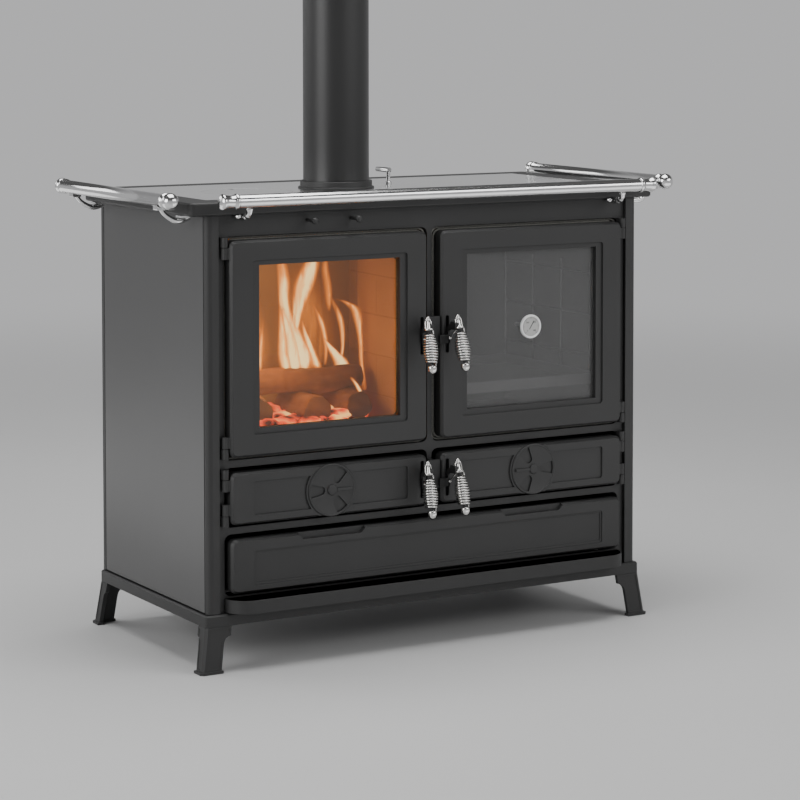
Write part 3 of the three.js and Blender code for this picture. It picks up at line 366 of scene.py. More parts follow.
firebrick = firebrick_material()
rounded_copy("firebox_shell", "firebox_steel", soot_steel, 0.6)
rounded_copy("firebrick_lining", "firebrick_lining_bricks", firebrick, 2.5)
rounded_copy("fire_grate", "grate_casting", soot_steel, 1.2)

# ------------------------------------------------------------ firewood, embers and flames
# Round logs lie over a bed of embers on the grate. Flames and thin smoke rise from them; the
# smoke's glow is painted firelight. Two small lamps stand for the light that they throw on the
# bricks.


def mesh_of(work, name, angle=40):
    """A bmesh as a smooth-shaded mesh whose faces point outwards."""
    bmesh.ops.recalc_face_normals(work, faces=work.faces)
    for face in work.faces:
        face.smooth = True
    mesh = bpy.data.meshes.new(name)
    work.to_mesh(mesh)
    work.free()
    mesh.set_sharp_from_angle(angle=radians(angle))
    return mesh


def shaped(work, name, material, angle=40):
    """The piece whose shape a bmesh holds."""
    return link(name, mesh_of(work, name, angle), material)


def sweep(work, path, radii, sides, bulge=None):
    """A closed tube along points in metres, with one radius in mm, or one at each point."""
    if not isinstance(radii, list):
        radii = [radii] * len(path)
    across = None
    rings = []
    for i, point in enumerate(path):
        ahead = (path[min(i + 1, len(path) - 1)] - path[max(i - 1, 0)]).normalized()
        if across is None:
            across = ahead.orthogonal().normalized()
        across = (across - ahead * across.dot(ahead)).normalized()
        third = ahead.cross(across)
        ring = []
        for k in range(sides):
            angle = tau * k / sides
            out = across * cos(angle) + third * sin(angle)
            reach = radii[i] * MM + (bulge(point, out) if bulge else 0)
            ring.append(work.verts.new(point + out * reach))
        rings.append(ring)
    for low, high in zip(rings, rings[1:]):
        for k in range(sides):
            work.faces.new((low[k], low[(k + 1) % sides], high[(k + 1) % sides], high[k]))
    for ring, place in ((rings[0], path[0]), (rings[-1], path[-1])):
        middle = work.verts.new(place)
        for k in range(sides):
            work.faces.new((ring[k], ring[(k + 1) % sides], middle))


bark = textured("charred bark", "#4a2c18", "#8e5c34", 16, 5, 1.2, (0.85, 0.97),
                stretch=(0.3, 1, 1), IOR=1.5)


def log(work, start, end, radius, seed):
    """One piece of firewood, with a furrowed outline and slightly tapered ends."""
    steps = 26
    path = [start.lerp(end, i / steps) for i in range(steps + 1)]
    for i, point in enumerate(path):
        point.z += 3 * MM * sin(0.5 * i + seed)
    radii = [radius * (1 - 0.12 * (2 * i / steps - 1) ** 4) for i in range(steps + 1)]
    offset = Vector((seed, 0, 0))

    def furrow(point, out):
        slow = noise.noise(out * 1.3 + offset) * 5 * MM
        fine = noise.noise(out * 6 + point * 30 + offset) * 1.8 * MM
        return slow + fine

    sweep(work, path, radii, 40, furrow)


wood = bmesh.new()
for start, end, radius, seed in (
    ((-404, 188, 505), (-70, 170, 502), 26, 1.7), ((-330, 92, 460), (-300, 320, 462), 33, 4.1),
    ((-205, 88, 452), (-190, 330, 456), 31, 7.9), ((-108, 100, 456), (-92, 300, 460), 30, 2.6),
    ((-395, 262, 520), (-90, 300, 528), 28, 9.3),
):
    log(wood, at(*start), at(*end), radius, seed)
firewood = shaped(wood, "firewood", bark, 60)


def ramp_of(tree, source, first, last, between=()):
    """A ramp over what a node gives, each stop a place on it with a hex colour."""
    ramp = add(tree, "ShaderNodeValToRGB", {0: source})
    stops = ramp.color_ramp.elements
    for stop, (position, colour) in zip(stops, (first, last)):
        stop.position, stop.color = position, linear(colour)
    for position, colour in between:
        stops.new(position).color = linear(colour)
    return ramp


def ember_material():
    """Charcoal with glowing cracks, brightest where it is deepest."""
    material, tree, place = blank_material("glowing charcoal")
    cells = add(tree, "ShaderNodeTexVoronoi", {"Scale": 1 / (26 * MM), "Vector": place})
    both = reckon(tree, "MULTIPLY", cells, clouds(tree, place, 1 / (60 * MM), 4.0))
    glow = ramp_of(tree, both, (0.08, "#3a0f04"), (0.46, "#ffc070"), [(0.26, "#e8461c")])
    return finished(material, "ShaderNodeBsdfPrincipled", {
        "Base Color": linear("#241a15"), "Roughness": 0.95, "Emission Color": glow,
        "Emission Strength": 1.7})


bed = bmesh.new()
LUMPS = 46
GOLDEN_TURN = 2.39996
for i in range(LUMPS):
    around = i * GOLDEN_TURN
    spread = sqrt((i + 0.5) / LUMPS)
    centre = at(-226 + 168 * spread * cos(around), 200 + 132 * spread * sin(around),
                438 + 10 * noise.noise(Vector((i * 0.7, 0, 0))))
    size = Vector((34, 30, 16)) * MM * (1 - 0.3 * spread)
    for vert in bmesh.ops.create_icosphere(bed, subdivisions=3, radius=1)["verts"]:
        rough = 1 + 0.3 * noise.noise(vert.co * 2.2 + Vector((i, 0, 0)))
        vert.co = centre + Vector([c * s for c, s in zip(vert.co, size)]) * rough
embers = shaped(bed, "embers", ember_material(), 60)


def burning(material, colour, strength, cover):
    """A surface that only gives light, and covers so much of what lies behind it."""
    return finished(material, "ShaderNodeBsdfPrincipled", {
        "Base Color": (0, 0, 0, 1), "Roughness": 1.0, "Specular IOR Level": 0.0,
        "Emission Color": colour, "Emission Strength": strength, "Alpha": cover})


def flame_material():
    """Burning gas, pale in its heart and orange at its thin edges."""
    material, tree, place = blank_material("flame")
    heart = add(tree, "ShaderNodeAttribute", attribute_name="heart").outputs["Fac"]
    drawn = add(tree, "ShaderNodeVectorMath",
                {0: place, 1: [1 / (length * MM) for length in (12, 12, 70)]},
                operation="MULTIPLY")
    licks = clouds(tree, drawn, 1.0, Distortion=0.6)
    gain = add(tree, "ShaderNodeMapRange", {0: licks, 1: 0.3, 2: 0.7, 3: 0.55, 4: 1.25})
    heat = reckon(tree, "MULTIPLY", heart, gain)
    glow = ramp_of(tree, heat, (0.0, "#8a3c0c"), (0.66, "#ffe09c"), [(0.32, "#ee8424")])
    cover = add(tree, "ShaderNodeMapRange", {0: heat, 1: 0.0, 2: 0.55, 3: 0.0, 4: 0.94})
    return burning(material, glow, 2.1, cover)


# Each tongue is a line of x, y, z and half width, from the wood up to its tip, with a measure
# of how bright its heart is.
TONGUES = [
    (1.0, [(-180, 190, 520, 30), (-190, 190, 552, 32), (-209, 190, 600, 24),
          (-223, 190, 652, 14), (-225, 190, 706, 16), (-236, 190, 772, 9)]),
    (1.0, [(-205, 184, 520, 20), (-212, 184, 556, 22), (-222, 184, 606, 16),
          (-232, 184, 650, 6)]),
    (0.95, [(-202, 188, 590, 8), (-196, 188, 632, 14), (-182, 188, 684, 25),
          (-164, 188, 730, 21), (-156, 188, 772, 9)]),
    (0.8, [(-226, 176, 520, 14), (-233, 176, 556, 14), (-236, 176, 606, 9),
          (-241, 176, 654, 4)]),
    (0.8, [(-152, 186, 522, 13), (-163, 186, 550, 11), (-178, 186, 588, 7),
          (-188, 186, 622, 3)]),
    (1.0, [(-96, 186, 518, 22), (-104, 186, 536, 18), (-120, 186, 556, 11),
          (-142, 186, 584, 3)]),
    (0.5, [(-90, 210, 525, 5), (-84, 210, 565, 6), (-90, 210, 615, 9), (-112, 210, 660, 6)]),
    (0.5, [(-126, 205, 525, 4), (-124, 205, 565, 6), (-134, 205, 610, 8), (-156, 205, 652, 4)]),
    (0.5, [(-46, 190, 472, 8), (-52, 190, 520, 6), (-56, 190, 580, 8), (-66, 190, 630, 14),
          (-92, 190, 650, 9), (-120, 190, 656, 4)]),
    (0.4, [(-112, 215, 630, 6), (-114, 215, 672, 12), (-120, 215, 716, 10),
          (-116, 215, 758, 3)]),
    (0.6, [(-286, 176, 520, 9), (-284, 176, 552, 8), (-280, 176, 590, 6), (-276, 176, 630, 3)]),
    (0.36, [(-262, 235, 520, 34), (-268, 235, 580, 44), (-284, 235, 650, 38),
          (-296, 235, 742, 20)]),
    (0.3, [(-150, 252, 520, 78), (-142, 252, 580, 82), (-150, 252, 650, 66),
          (-150, 252, 735, 30)]),
    (1.0, [(-110, 108, 446, 4), (-99, 110, 468, 5), (-103, 112, 490, 6), (-117, 118, 512, 5)]),
    (0.8, [(-330, 182, 520, 8), (-326, 182, 544, 7), (-324, 182, 572, 5), (-321, 182, 604, 2)]),
    (0.6, [(-320, 205, 522, 8), (-326, 205, 556, 9), (-322, 205, 596, 7), (-328, 205, 640, 3)]),
    (0.7, [(-302, 180, 520, 9), (-306, 180, 538, 8), (-301, 180, 560, 6), (-298, 180, 582, 2)]),
    (0.4, [(-366, 240, 520, 24), (-372, 240, 580, 30), (-364, 240, 650, 24),
          (-368, 240, 742, 12)]),
]


def between(four, u):
    """The place at a share of the way from the second of four points to the third, smoothly."""
    a, b, c, d = four
    return 0.5 * (2 * b + (c - a) * u + (2 * a - 5 * b + 4 * c - d) * u ** 2
                  + (3 * b - a - 3 * c + d) * u ** 3)


def tongue(work, heart, bright, line):
    """One flame as a closed lens-shaped sheet, its heart measured from its edges."""
    rows, columns = 28, 12
    places = [Vector(point) for point in line]
    places = [places[0], *places, places[-1]]
    grid = {}
    for side in (-1, 1):
        for row in range(rows + 1):
            t = row / rows
            step = min(int(t * (len(line) - 1)), len(line) - 2)
            x, y, z, half = between(places[step:step + 4], t * (len(line) - 1) - step)
            half = max(half, 0.5)
            fade = min(1, 5 * t + 0.25, 3.2 * (1 - t))
            for column in range(columns + 1):
                u = 2 * column / columns - 1
                rim = column in (0, columns) or row in (0, rows)
                if rim and side == 1:
                    grid[side, row, column] = grid[-1, row, column]
                    continue
                belly = 0 if rim else 0.3 * half * (1 - u * u)
                vert = work.verts.new(at(x + u * half, y + side * belly, z))
                vert[heart] = bright * fade * (1 - abs(u)) ** 1.15
                grid[side, row, column] = vert
        for row in range(rows):
            for column in range(columns):
                corners = [grid[side, row, column], grid[side, row, column + 1],
                           grid[side, row + 1, column + 1], grid[side, row + 1, column]]
                if len(set(corners)) > 2 and not work.faces.get(corners):
                    work.faces.new(corners)


blaze = bmesh.new()
heart_layer = blaze.verts.layers.float.new("heart")
for bright, line in TONGUES:
    tongue(blaze, heart_layer, bright, line)
flames = shaped(blaze, "flames", flame_material(), 60)


def painted_firelight_haze_material():
    """Thin smoke with firelight painted on as its own glow, brighter towards the tallest flame.
    """
    material, tree, place = blank_material("smoke with painted firelight")
    across = add(tree, "ShaderNodeSeparateXYZ", {0: place})
    share = add(tree, "ShaderNodeMapRange", {0: across, 1: -0.40, 2: -0.03, 3: 0.0, 4: 1.0})
    # Painted firelight: the smoke glows bright orange at the left of the firebox and dark brown
    # at the right.
    painted_firelight_tone = ramp_of(tree, share, (0.0, "#dc9450"), (1.0, "#4a2a0e"), [(0.55, "#9a5c22")])
    drift = clouds(tree, place, 1 / (120 * MM), 2.0)
    veil = add(tree, "ShaderNodeMapRange", {0: drift, 1: 0.3, 2: 0.7, 3: 0.26, 4: 0.42})
    heart = add(tree, "ShaderNodeAttribute", attribute_name="heart").outputs["Fac"]
    return burning(material, painted_firelight_tone, 1.0, reckon(tree, "MULTIPLY", veil, heart))


SMOKE_X = (-412, -28)
SMOKE_Z = (446, 784)
smoke = bmesh.new()
smoke_layer = smoke.verts.layers.float.new("heart")
for y in (84, 226, 262):
    columns = []
    for x in range(-410, -29, 20):
        column = []
        for z in range(450, 781, 15):
            near_edge = min(1, (x - SMOKE_X[0]) / 12, (SMOKE_X[1] - x) / 12,
                            (z - SMOKE_Z[0]) / 20, (SMOKE_Z[1] - z) / 20)
            vert = smoke.verts.new(at(x, y + 6 * noise.noise(Vector((x / 60, z / 60, y))), z))
            vert[smoke_layer] = max(0, near_edge) * (0.45 if y < 200 else 1)
            column.append(vert)
        columns.append(column)
    for left, right in zip(columns, columns[1:]):
        for k in range(len(left) - 1):
            smoke.faces.new((left[k], right[k], right[k + 1], left[k + 1]))
haze = shaped(smoke, "fire_haze_painted_glow", painted_firelight_haze_material(), 60)
for piece in (firewood, embers, flames, haze):
    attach(piece, frame["nodes"]["fire_grate"]["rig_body"])


def lamp_at(name, kind, place, energy):
    """A lamp that lights the stove and isn't seen itself."""
    lamp = placed(name, bpy.data.lights.new(name, kind))
    lamp.data.energy = energy
    lamp.location = place
    lamp.visible_camera = False
    return lamp


for name, place, watts, size in (("firelight", (-290, 150, 615), 1.65, 50),
                                 ("emberlight", (-250, 62, 520), 0.55, 30)):
    lamp = lamp_at(name, "POINT", at(*place), watts)
    lamp.data.color = (1.0, 0.53, 0.17)
    lamp.data.shadow_soft_size = size * MM
    lamp.visible_glossy = False
    lamp.visible_transmission = False

# ------------------------------------------------------------ lower deck, ash pan and drawer
# Folded steel sheet makes the deck, the drawer and the loose ash pan. The drawer front is a
# casting with two finger notches, screwed to its box.
raw_sheet = textured("oiled steel sheet", "#2c2c2c", "#3a3a3a", 90, 2.0, 0.03,
                     (0.38, 0.52), Metallic=0.6)
rounded_copy("lower_deck", "lower_deck_sheet", sheet_paint, 0.6)
rounded_copy("ash_pan", "ash_pan_sheet", raw_sheet, 0.6)
rounded_copy("drawer_box", "drawer_tray", raw_sheet, 0.6)
rounded_copy("drawer_front", "drawer_front_casting", cast_paint, 1.0)
screws("drawer_screws", "drawer_box", [(x, 16.3, 190) for x in (-400, -200, 0, 200, 400)],
       TURN_BACK, 3.5, 1.6)

# ------------------------------------------------------------ oven
# The oven is a box of enamelled steel. Chromed wire racks hang on its side walls, and an
# enamelled tray lies on the lowest runners.
oven_enamel = textured("grey vitreous enamel", "#747474", "#808080", 70, 0.8, 0.02,
                       (0.16, 0.28), IOR=1.55)
tray_enamel = textured("light grey vitreous enamel", "#a4a4a4", "#b0b0b0", 70, 0.8, 0.02,
                       (0.16, 0.28), IOR=1.55)
rounded_copy("oven_box", "oven_liner", oven_enamel, 1.0)
rounded_copy("oven_shelf", "baking_tray", tray_enamel, 0.7)
chrome = textured("chromed steel", "#cbcbcb", "#d9d9d9", 200, 1.2, 0.004,
                  (0.07, 0.13), Metallic=1.0)


def plan_of(node):
    """The least and greatest x, y and z of a node in mm, y from the door plane."""
    low, high = (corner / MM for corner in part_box(node))
    return (low.x, high.x), (low.y - DOOR_PLANE, high.y - DOOR_PLANE), (low.z, high.z)


RACK_WIRE = 3
RUNNER_HEIGHTS = (20, 76, 159, 244)
for side, inward in (("left", 1), ("right", -1)):
    rack_x, rack_y, rack_z = plan_of(f"oven_rack_{side}")
    wall_x, runner_x = rack_x[::inward]
    front, back = rack_y[0] + 10, rack_y[1] - 5
    rack = bmesh.new()
    for i in range(4):
        y = front + (back - front) * i / 3
        sweep(rack, [at(wall_x + inward * RACK_WIRE, y, z) for z in rack_z], 2.9, 14)
    for above in RUNNER_HEIGHTS:
        sweep(rack, [at(runner_x - inward * RACK_WIRE, y, rack_z[0] + above)
                     for y in (front - 9.5, front, back, back + 4.5)], 2.9, 14)
    stands_for(shaped(rack, f"side_rack_{side}", chrome), f"oven_rack_{side}")

# ------------------------------------------------------------ hob
# A cast surround carries a machined steel plate with a loose round lid. The plate is ground,
# so it has fine straight scratches and a soft grey shine.
ground_plate = textured("ground steel plate", "#d6d6d6", "#e6e6e6", 120, 2.2, 0.012,
                        (0.15, 0.23), stretch=(0.03, 1, 1), Metallic=1.0)
ground_lid = textured("turned steel lid", "#d0d0d0", "#e0e0e0", 90, 2.0, 0.012,
                      (0.14, 0.22), stretch=(1, 0.05, 1), Metallic=1.0)
rounded_copy("hob_frame", "hob_surround", cast_paint, 1.6, 3)


def turn(work, profile, centre, axis, sides=96, place=at):
    """A turned piece: pairs of radius and distance along its axis, about a centre, in mm."""
    rings = []
    closed = profile[0] == profile[-1]
    for radius, along in profile[:-1] if closed else profile:
        ring = []
        for k in range(1 if radius == 0 else sides):
            angle = tau * k / sides
            a, b = radius * cos(angle), radius * sin(angle)
            offset = {"X": (along, a, b), "Y": (a, along, b), "Z": (a, b, along)}[axis]
            ring.append(work.verts.new(place(*(c + o for c, o in zip(centre, offset)))))
        rings.append(ring)
    pairs = list(zip(rings, rings[1:]))
    if closed:
        pairs.append((rings[-1], rings[0]))
    for low, high in pairs:
        for k in range(sides):
            corners = [low[k % len(low)], low[(k + 1) % len(low)],
                       high[(k + 1) % len(high)], high[k % len(high)]]
            kept = [v for i, v in enumerate(corners) if v not in corners[:i]]
            if len(kept) > 2:
                work.faces.new(kept)
    return work


def carved(piece, *cutters):
    """The piece with the cutters' shapes taken out of it."""
    for cutter in cutters:
        mesh = bpy.data.meshes.new("cutter")
        bmesh.ops.recalc_face_normals(cutter, faces=cutter.faces)
        cutter.to_mesh(mesh)
        cutter.free()
        tool = placed("cutter", mesh)
        removal = piece.modifiers.new("cut", "BOOLEAN")
        removal.operation = "DIFFERENCE"
        removal.solver = "EXACT"
        removal.object = tool
        made_real(piece)
        bpy.data.objects.remove(tool)
    return piece


def block(work, x, y, z):
    """A plain block between pairs of x, y and z, as stock to be cut."""
    corners = [work.verts.new(at(a, b, c)) for a in x for b in y for c in z]
    for loop in ((0, 1, 3, 2), (4, 6, 7, 5), (0, 4, 5, 1), (2, 3, 7, 6), (0, 2, 6, 4),
                 (1, 5, 7, 3)):
        work.faces.new([corners[i] for i in loop])
    return work


def middle(pair):
    return (pair[0] + pair[1]) / 2


plate_x, plate_y, plate_z = plan_of("hob_plate")
lid_x, lid_y, _ = plan_of("hob_lid")
pipe_x, pipe_y, pipe_z = plan_of("flue_pipe")
stem_x, stem_y, stem_z = plan_of("damper_handle")
HOB_TOP = plate_z[1]
lid_place = (middle(lid_x), middle(lid_y), HOB_TOP)
lid_radius = (lid_x[1] - lid_x[0]) / 2
pipe_place = (middle(pipe_x), middle(pipe_y), HOB_TOP)
pipe_radius = (pipe_x[1] - pipe_x[0]) / 2
stem_place = (middle(stem_x), stem_y[0] + 7, HOB_TOP)

plate = shaped(block(bmesh.new(), plate_x, plate_y, plate_z), "hob_plate_ground", ground_plate)
recesses = [turn(bmesh.new(), [(0, -depth), (radius, -depth), (radius, 1), (0, 1)], place, "Z")
            for place, radius, depth in (
                (lid_place, lid_radius + 0.3, 4), (lid_place, lid_radius - 6, 9),
                (pipe_place, pipe_radius + 10.3, 1), (pipe_place, pipe_radius - 3, 9),
                (stem_place, 7.4, 1), (stem_place, 4.4, 9))]
stands_for(round_edges(carved(plate, *recesses), 0.35), "hob_plate")

lid_blank = turn(bmesh.new(), [
    (0, -8), (lid_radius - 7, -8), (lid_radius - 7, -4), (lid_radius, -4), (lid_radius, -0.5),
    (lid_radius - 0.5, 0), (0, 0)], lid_place, "Z")
lift_slot = block(bmesh.new(), (lid_place[0] - 4, lid_place[0] + 4),
                  (lid_place[1] + lid_radius - 28, lid_place[1] + lid_radius - 12),
                  (HOB_TOP - 5, HOB_TOP + 1))
lid = carved(shaped(lid_blank, "hob_lid_turned", ground_lid), lift_slot)
stands_for(round_edges(lid, 0.3), "hob_lid")

# ------------------------------------------------------------ flue
# A cast collar on the hob plate takes a pipe rolled from 2 mm steel, 130 mm across. The pipe is
# painted satin black, a little darker than the side sheets.
flue_paint = textured("satin paint on flue pipe", "#1f1f1f", "#262626", 240, 2.5, 0.03,
                      (0.34, 0.44), IOR=1.5)
collar = turn(bmesh.new(), [(pipe_radius + out, up) for out, up in (
    (-5, -0.7), (9.6, -0.7), (10, 0.2), (10, 2.4), (9, 3.2), (6.6, 4), (6, 5), (6, 14), (5, 15),
    (0.4, 15), (0.3, 6), (-5, 6), (-5, -0.7))], pipe_place, "Z", 128)
stands_for(shaped(collar, "flue_collar_casting", cast_paint, 30), "flue_collar")
pipe_low, pipe_high = pipe_z[0] - HOB_TOP, pipe_z[1] - HOB_TOP
pipe = turn(bmesh.new(), [(pipe_radius + out, up) for out, up in (
    (-2, pipe_low), (0, pipe_low), (0, pipe_high - 0.5), (-0.5, pipe_high), (-1.5, pipe_high),
    (-2, pipe_high - 0.5), (-2, pipe_low))], pipe_place, "Z", 128)
stands_for(shaped(pipe, "flue_pipe_sheet", flue_paint, 30), "flue_pipe")

# ------------------------------------------------------------ flue damper
# A cross bar of turned and polished steel on a stem works the flap below the hob, which is cut
# from steel plate.
polished = textured("polished steel", "#d4d4d4", "#e2e2e2", 160, 1.4, 0.004,
                    (0.10, 0.17), Metallic=1.0)
stem_low, bar_z = stem_z[0] - HOB_TOP, stem_z[1] - 5 - HOB_TOP
handle = turn(bmesh.new(), [
    (0, stem_low), (3.6, stem_low), (4, stem_low + 0.5), (4, -0.6), (6.6, -0.6), (7, -0.2),
    (7, 4.2), (6.4, 5), (4, 5), (4, bar_z), (0, bar_z)], stem_place, "Z", 48)
turn(handle, [(0, -6), (3.8, -6), (4.6, -5.5), (5, -4.6), (5, 44.6), (4.6, 45.5), (3.8, 46),
              (0, 46)], (stem_place[0], stem_place[1], HOB_TOP + bar_z), "Y", 48)
stands_for(shaped(handle, "damper_cross_bar", polished, 30), "damper_handle")
rounded_copy("damper_flap", "damper_plate", soot_steel, 0.4)

# ------------------------------------------------------------ air control rods
# Two rods with small knobs, turned from steel and painted black, slide through the fascia to
# set the air to the firebox.
for side in ("left", "right"):
    rod_x, rod_y, rod_z = plan_of(f"air_rod_{side}")
    length = rod_y[1] - rod_y[0]
    rod = turn(bmesh.new(), [
        (0, 0), (2.4, 0.3), (4.5, 1.2), (6.0, 3.0), (6.5, 5.2), (6.4, 7.4), (5.6, 9.6),
        (4.2, 11.0), (3, 12.2), (3, length - 0.6), (2.4, length), (0, length)],
        (middle(rod_x), rod_y[0], middle(rod_z)), "Y", 40)
    stands_for(shaped(rod, f"air_rod_{side}_turned", cast_paint), f"air_rod_{side}")

# ------------------------------------------------------------ towel rails
# Rails of 25 mm polished tube run along three sides. Turned end pieces close them: a vase and
# cap on the front rail, a ball on the front of each side rail, a small knob at its back.


def ball(radius, centre, first, last, steps=14):
    """Points of radius and distance round part of a ball, between two angles in degrees."""
    turns = [radians(first + (last - first) * i / steps) for i in range(steps + 1)]
    return [(max(0, radius * sin(a)), centre - radius * cos(a)) for a in turns]


rail_x, rail_y, rail_z = plan_of("rail_front")
RAIL_RADIUS = 12.5
FRONT_RAIL_END = [
    (RAIL_RADIUS, -38), (13.4, -37.6), (14.5, -36.2), (14.7, -34.4), (14.5, -32.6), (13.5, -31.2),
    (12.4, -30.4), (11.9, -27), (11.8, -23), (12.1, -19), (12.8, -15), (13.9, -11.5), (14.8, -9),
    (15.1, -7.6), (15.0, -6.2), (14.2, -4.9), (12.4, -3.2), (9.8, -1.8), (5.6, -0.6), (0, 0),
]
profile = [(r, rail_x[0] - a) for r, a in reversed(FRONT_RAIL_END)]
profile += [(r, rail_x[1] + a) for r, a in FRONT_RAIL_END]
front_rail = turn(bmesh.new(), profile, (0, middle(rail_y), middle(rail_z)), "X", 64)
stands_for(shaped(front_rail, "front_rail_tube", polished, 50), "rail_front")

for side in ("left", "right"):
    rail_x, rail_y, rail_z = plan_of(f"rail_{side}")
    length = rail_y[1] - rail_y[0]
    profile = [
        *ball(15.9, 16.4, 0, 138),
        (10.2, 29.4), (11.4, 31.2), (14.0, 32.6), (14.6, 34.4), (14.6, 37.4), (13.8, 39.4),
        (RAIL_RADIUS, 41),
        *((r, length - a) for r, a in (
            (RAIL_RADIUS, 28), (14.3, 26.4), (14.6, 23), (14.3, 19.8), (10.6, 18), (11.8, 16),
            (13.6, 14), (15.2, 11), (15.3, 8), (13.6, 4.4), (9.4, 1.8), (4.6, 0.5), (0, 0))),
    ]
    tube = turn(bmesh.new(), profile, (middle(rail_x), rail_y[0], middle(rail_z)), "Y", 64)
    stands_for(shaped(tube, f"{side}_rail_tube", polished, 50), f"rail_{side}")

# ------------------------------------------------------------ rail brackets
# Polished castings hold the rails. At the sides an arm dips below the hob and rises to a saddle;
# at the front a bent stem with turned beads does.


def smooth_path(points, steps):
    """Points along a smooth line through the given ones."""
    ends = [points[0] * 2 - points[1], *points, points[-1] * 2 - points[-2]]
    return [between(ends[i:i + 4], step / steps)
            for i in range(len(points) - 1) for step in range(steps)] + [points[-1]]


def prism(work, outline, low, high, place=at):
    """A solid between two y places whose outline is given in x and z."""
    layers = [[work.verts.new(place(x, y, z)) for x, z in outline] for y in (low, high)]
    work.faces.new(layers[0])
    work.faces.new(layers[1])
    for k in range(len(outline)):
        j = (k + 1) % len(outline)
        work.faces.new((layers[0][k], layers[0][j], layers[1][j], layers[1][k]))
    return work


def swellings(path, *beads):
    """For each point of a path, what its beads add: each a height, a place and a width."""
    return [sum(high * exp(-((i / (len(path) - 1) - where) / wide) ** 2)
                for high, where, wide in beads) for i in range(len(path))]


ARM_RADIUS = 5.5
SADDLE_RADIUS = 12.8
hob_x, _, hob_z = plan_of("hob_frame")
for place in ("left_front", "left_rear", "right_front", "right_rear"):
    side = place.split("_")[0]
    hand = -1 if side == "left" else 1
    reach, depth, _ = plan_of(f"bracket_{place}")
    inner = min(abs(x) for x in reach)
    y = middle(depth)
    foot_top = hob_z[0] - 0.3
    arm_low = foot_top - ARM_RADIUS - 4
    rail_x, _, rail_z = plan_of(f"rail_{side}")
    rail_mid, rail_height = abs(middle(rail_x)), middle(rail_z)
    casting = block(bmesh.new(), sorted((hand * inner, hand * (hob_x[1] - 2))),
                    (y - 10, y + 10), (foot_top - 4, foot_top))
    arc = [radians(a) for a in range(-135, -44, 9)]
    prism(casting, [(hand * x, z) for x, z in (
        (rail_mid + 8, foot_top + 11), (rail_mid - 8, foot_top + 11),
        (rail_mid - 9, foot_top + 13),
        *((rail_mid + SADDLE_RADIUS * cos(a), rail_height + SADDLE_RADIUS * sin(a))
          for a in arc),
        (rail_mid + 9, foot_top + 13))], y - 9, y + 9)
    bracket = shaped(casting, f"side_bracket_{place}", polished, 30)
    stands_for(round_edges(bracket, 0.8), f"bracket_{place}")
    bar = bmesh.new()
    path = smooth_path([at(hand * x, y, z) for x, z in (
        (inner + 8, foot_top - ARM_RADIUS), (inner + 20, arm_low), (hob_x[1] + 4, arm_low),
        (rail_mid - 12, arm_low + 11), (rail_mid - 1, rail_height - 14))], 9)
    sweep(bar, path, [4.6 * (0.9 + k) for k in swellings(path, (0.35, 0.42, 0.2))], 24)
    goes_with(shaped(bar, f"side_bracket_arm_{place}", polished), f"bracket_{place}")

for side in ("left", "right"):
    foot_x, foot_y, foot_z = plan_of(f"bracket_front_{side}")
    x, hob_side = middle(foot_x), foot_y[1] - 11
    under_hob = foot_z[1] - 21
    stem = turn(bmesh.new(), [(0, -7), (7.6, -7), (9.2, -6.4), (10.6, -4.6), (11, -3),
                              (11, -0.6), (10.5, 0), (0, 0)], (x, hob_side, under_hob), "Z", 40)
    path = smooth_path([at(x, y, under_hob + up) for y, up in (
        (hob_side, -4), (foot_y[1] - 32, -3.4), (foot_y[1] - 52, 5.4), (foot_y[0] + 13.6, 18))],
        12)
    beads = swellings(path, (1.6, 0.42, 0.035), (1.3, 0.56, 0.03), (1.8, 0.86, 0.05))
    sweep(stem, path, [4.9 + bead for bead in beads], 24)
    stands_for(shaped(stem, f"front_bracket_{side}", polished), f"bracket_front_{side}")

# ------------------------------------------------------------ glazed doors
# Cast doors with a stepped moulding hold panes of ceramic glass, which are bedded on glass-fibre
# rope and clamped from behind. The oven door carries a thermometer on its pane.


def glass_material(name, tint, clear, gloss):
    """Ceramic glass: smooth and clear, with a faint stain and a thin film of soot."""
    material, tree, place = blank_material(name)
    film = clouds(tree, place, 9.0, 4.0)
    return finished(material, "ShaderNodeBsdfPrincipled", {
        "Base Color": shades(tree, film, linear(tint[0]), linear(tint[1])),
        "Roughness": add(tree, "ShaderNodeMapRange", {0: film, 3: gloss, 4: gloss + 0.03}),
        "IOR": 1.47, "Transmission Weight": clear})


def line_round(x, z, y, start_z, corner):
    """A closed line round an opening from its first side, its corners cut at these offsets."""
    (x0, x1), (z0, z1) = x, z
    line = [(x0, start_z)]
    line += [(x0 + a, z0 + b) for a, b in corner]
    line += [(x1 - a, z0 + b) for a, b in reversed(corner)]
    line += [(x1 - a, z1 - b) for a, b in corner]
    line += [(x0 + a, z1 - b) for a, b in reversed(corner)]
    return [at(x, y, z) for x, z in (*line, line[0])]


fire_glass = glass_material("clear ceramic glass", ("#f4ead9", "#fffaf0"), 1.0, 0.0)
oven_glass = glass_material("smoked ceramic glass", ("#b9b9b9", "#c4c4c4"), 0.88, 0.01)
rounded_copy("fire_door", "fire_door_casting", cast_paint, 1.2)
rounded_copy("oven_door", "oven_door_casting", cast_paint, 1.2)
rounded_copy("fire_glass", "fire_pane", fire_glass, 0.5)
rounded_copy("oven_glass", "oven_pane", oven_glass, 0.5)

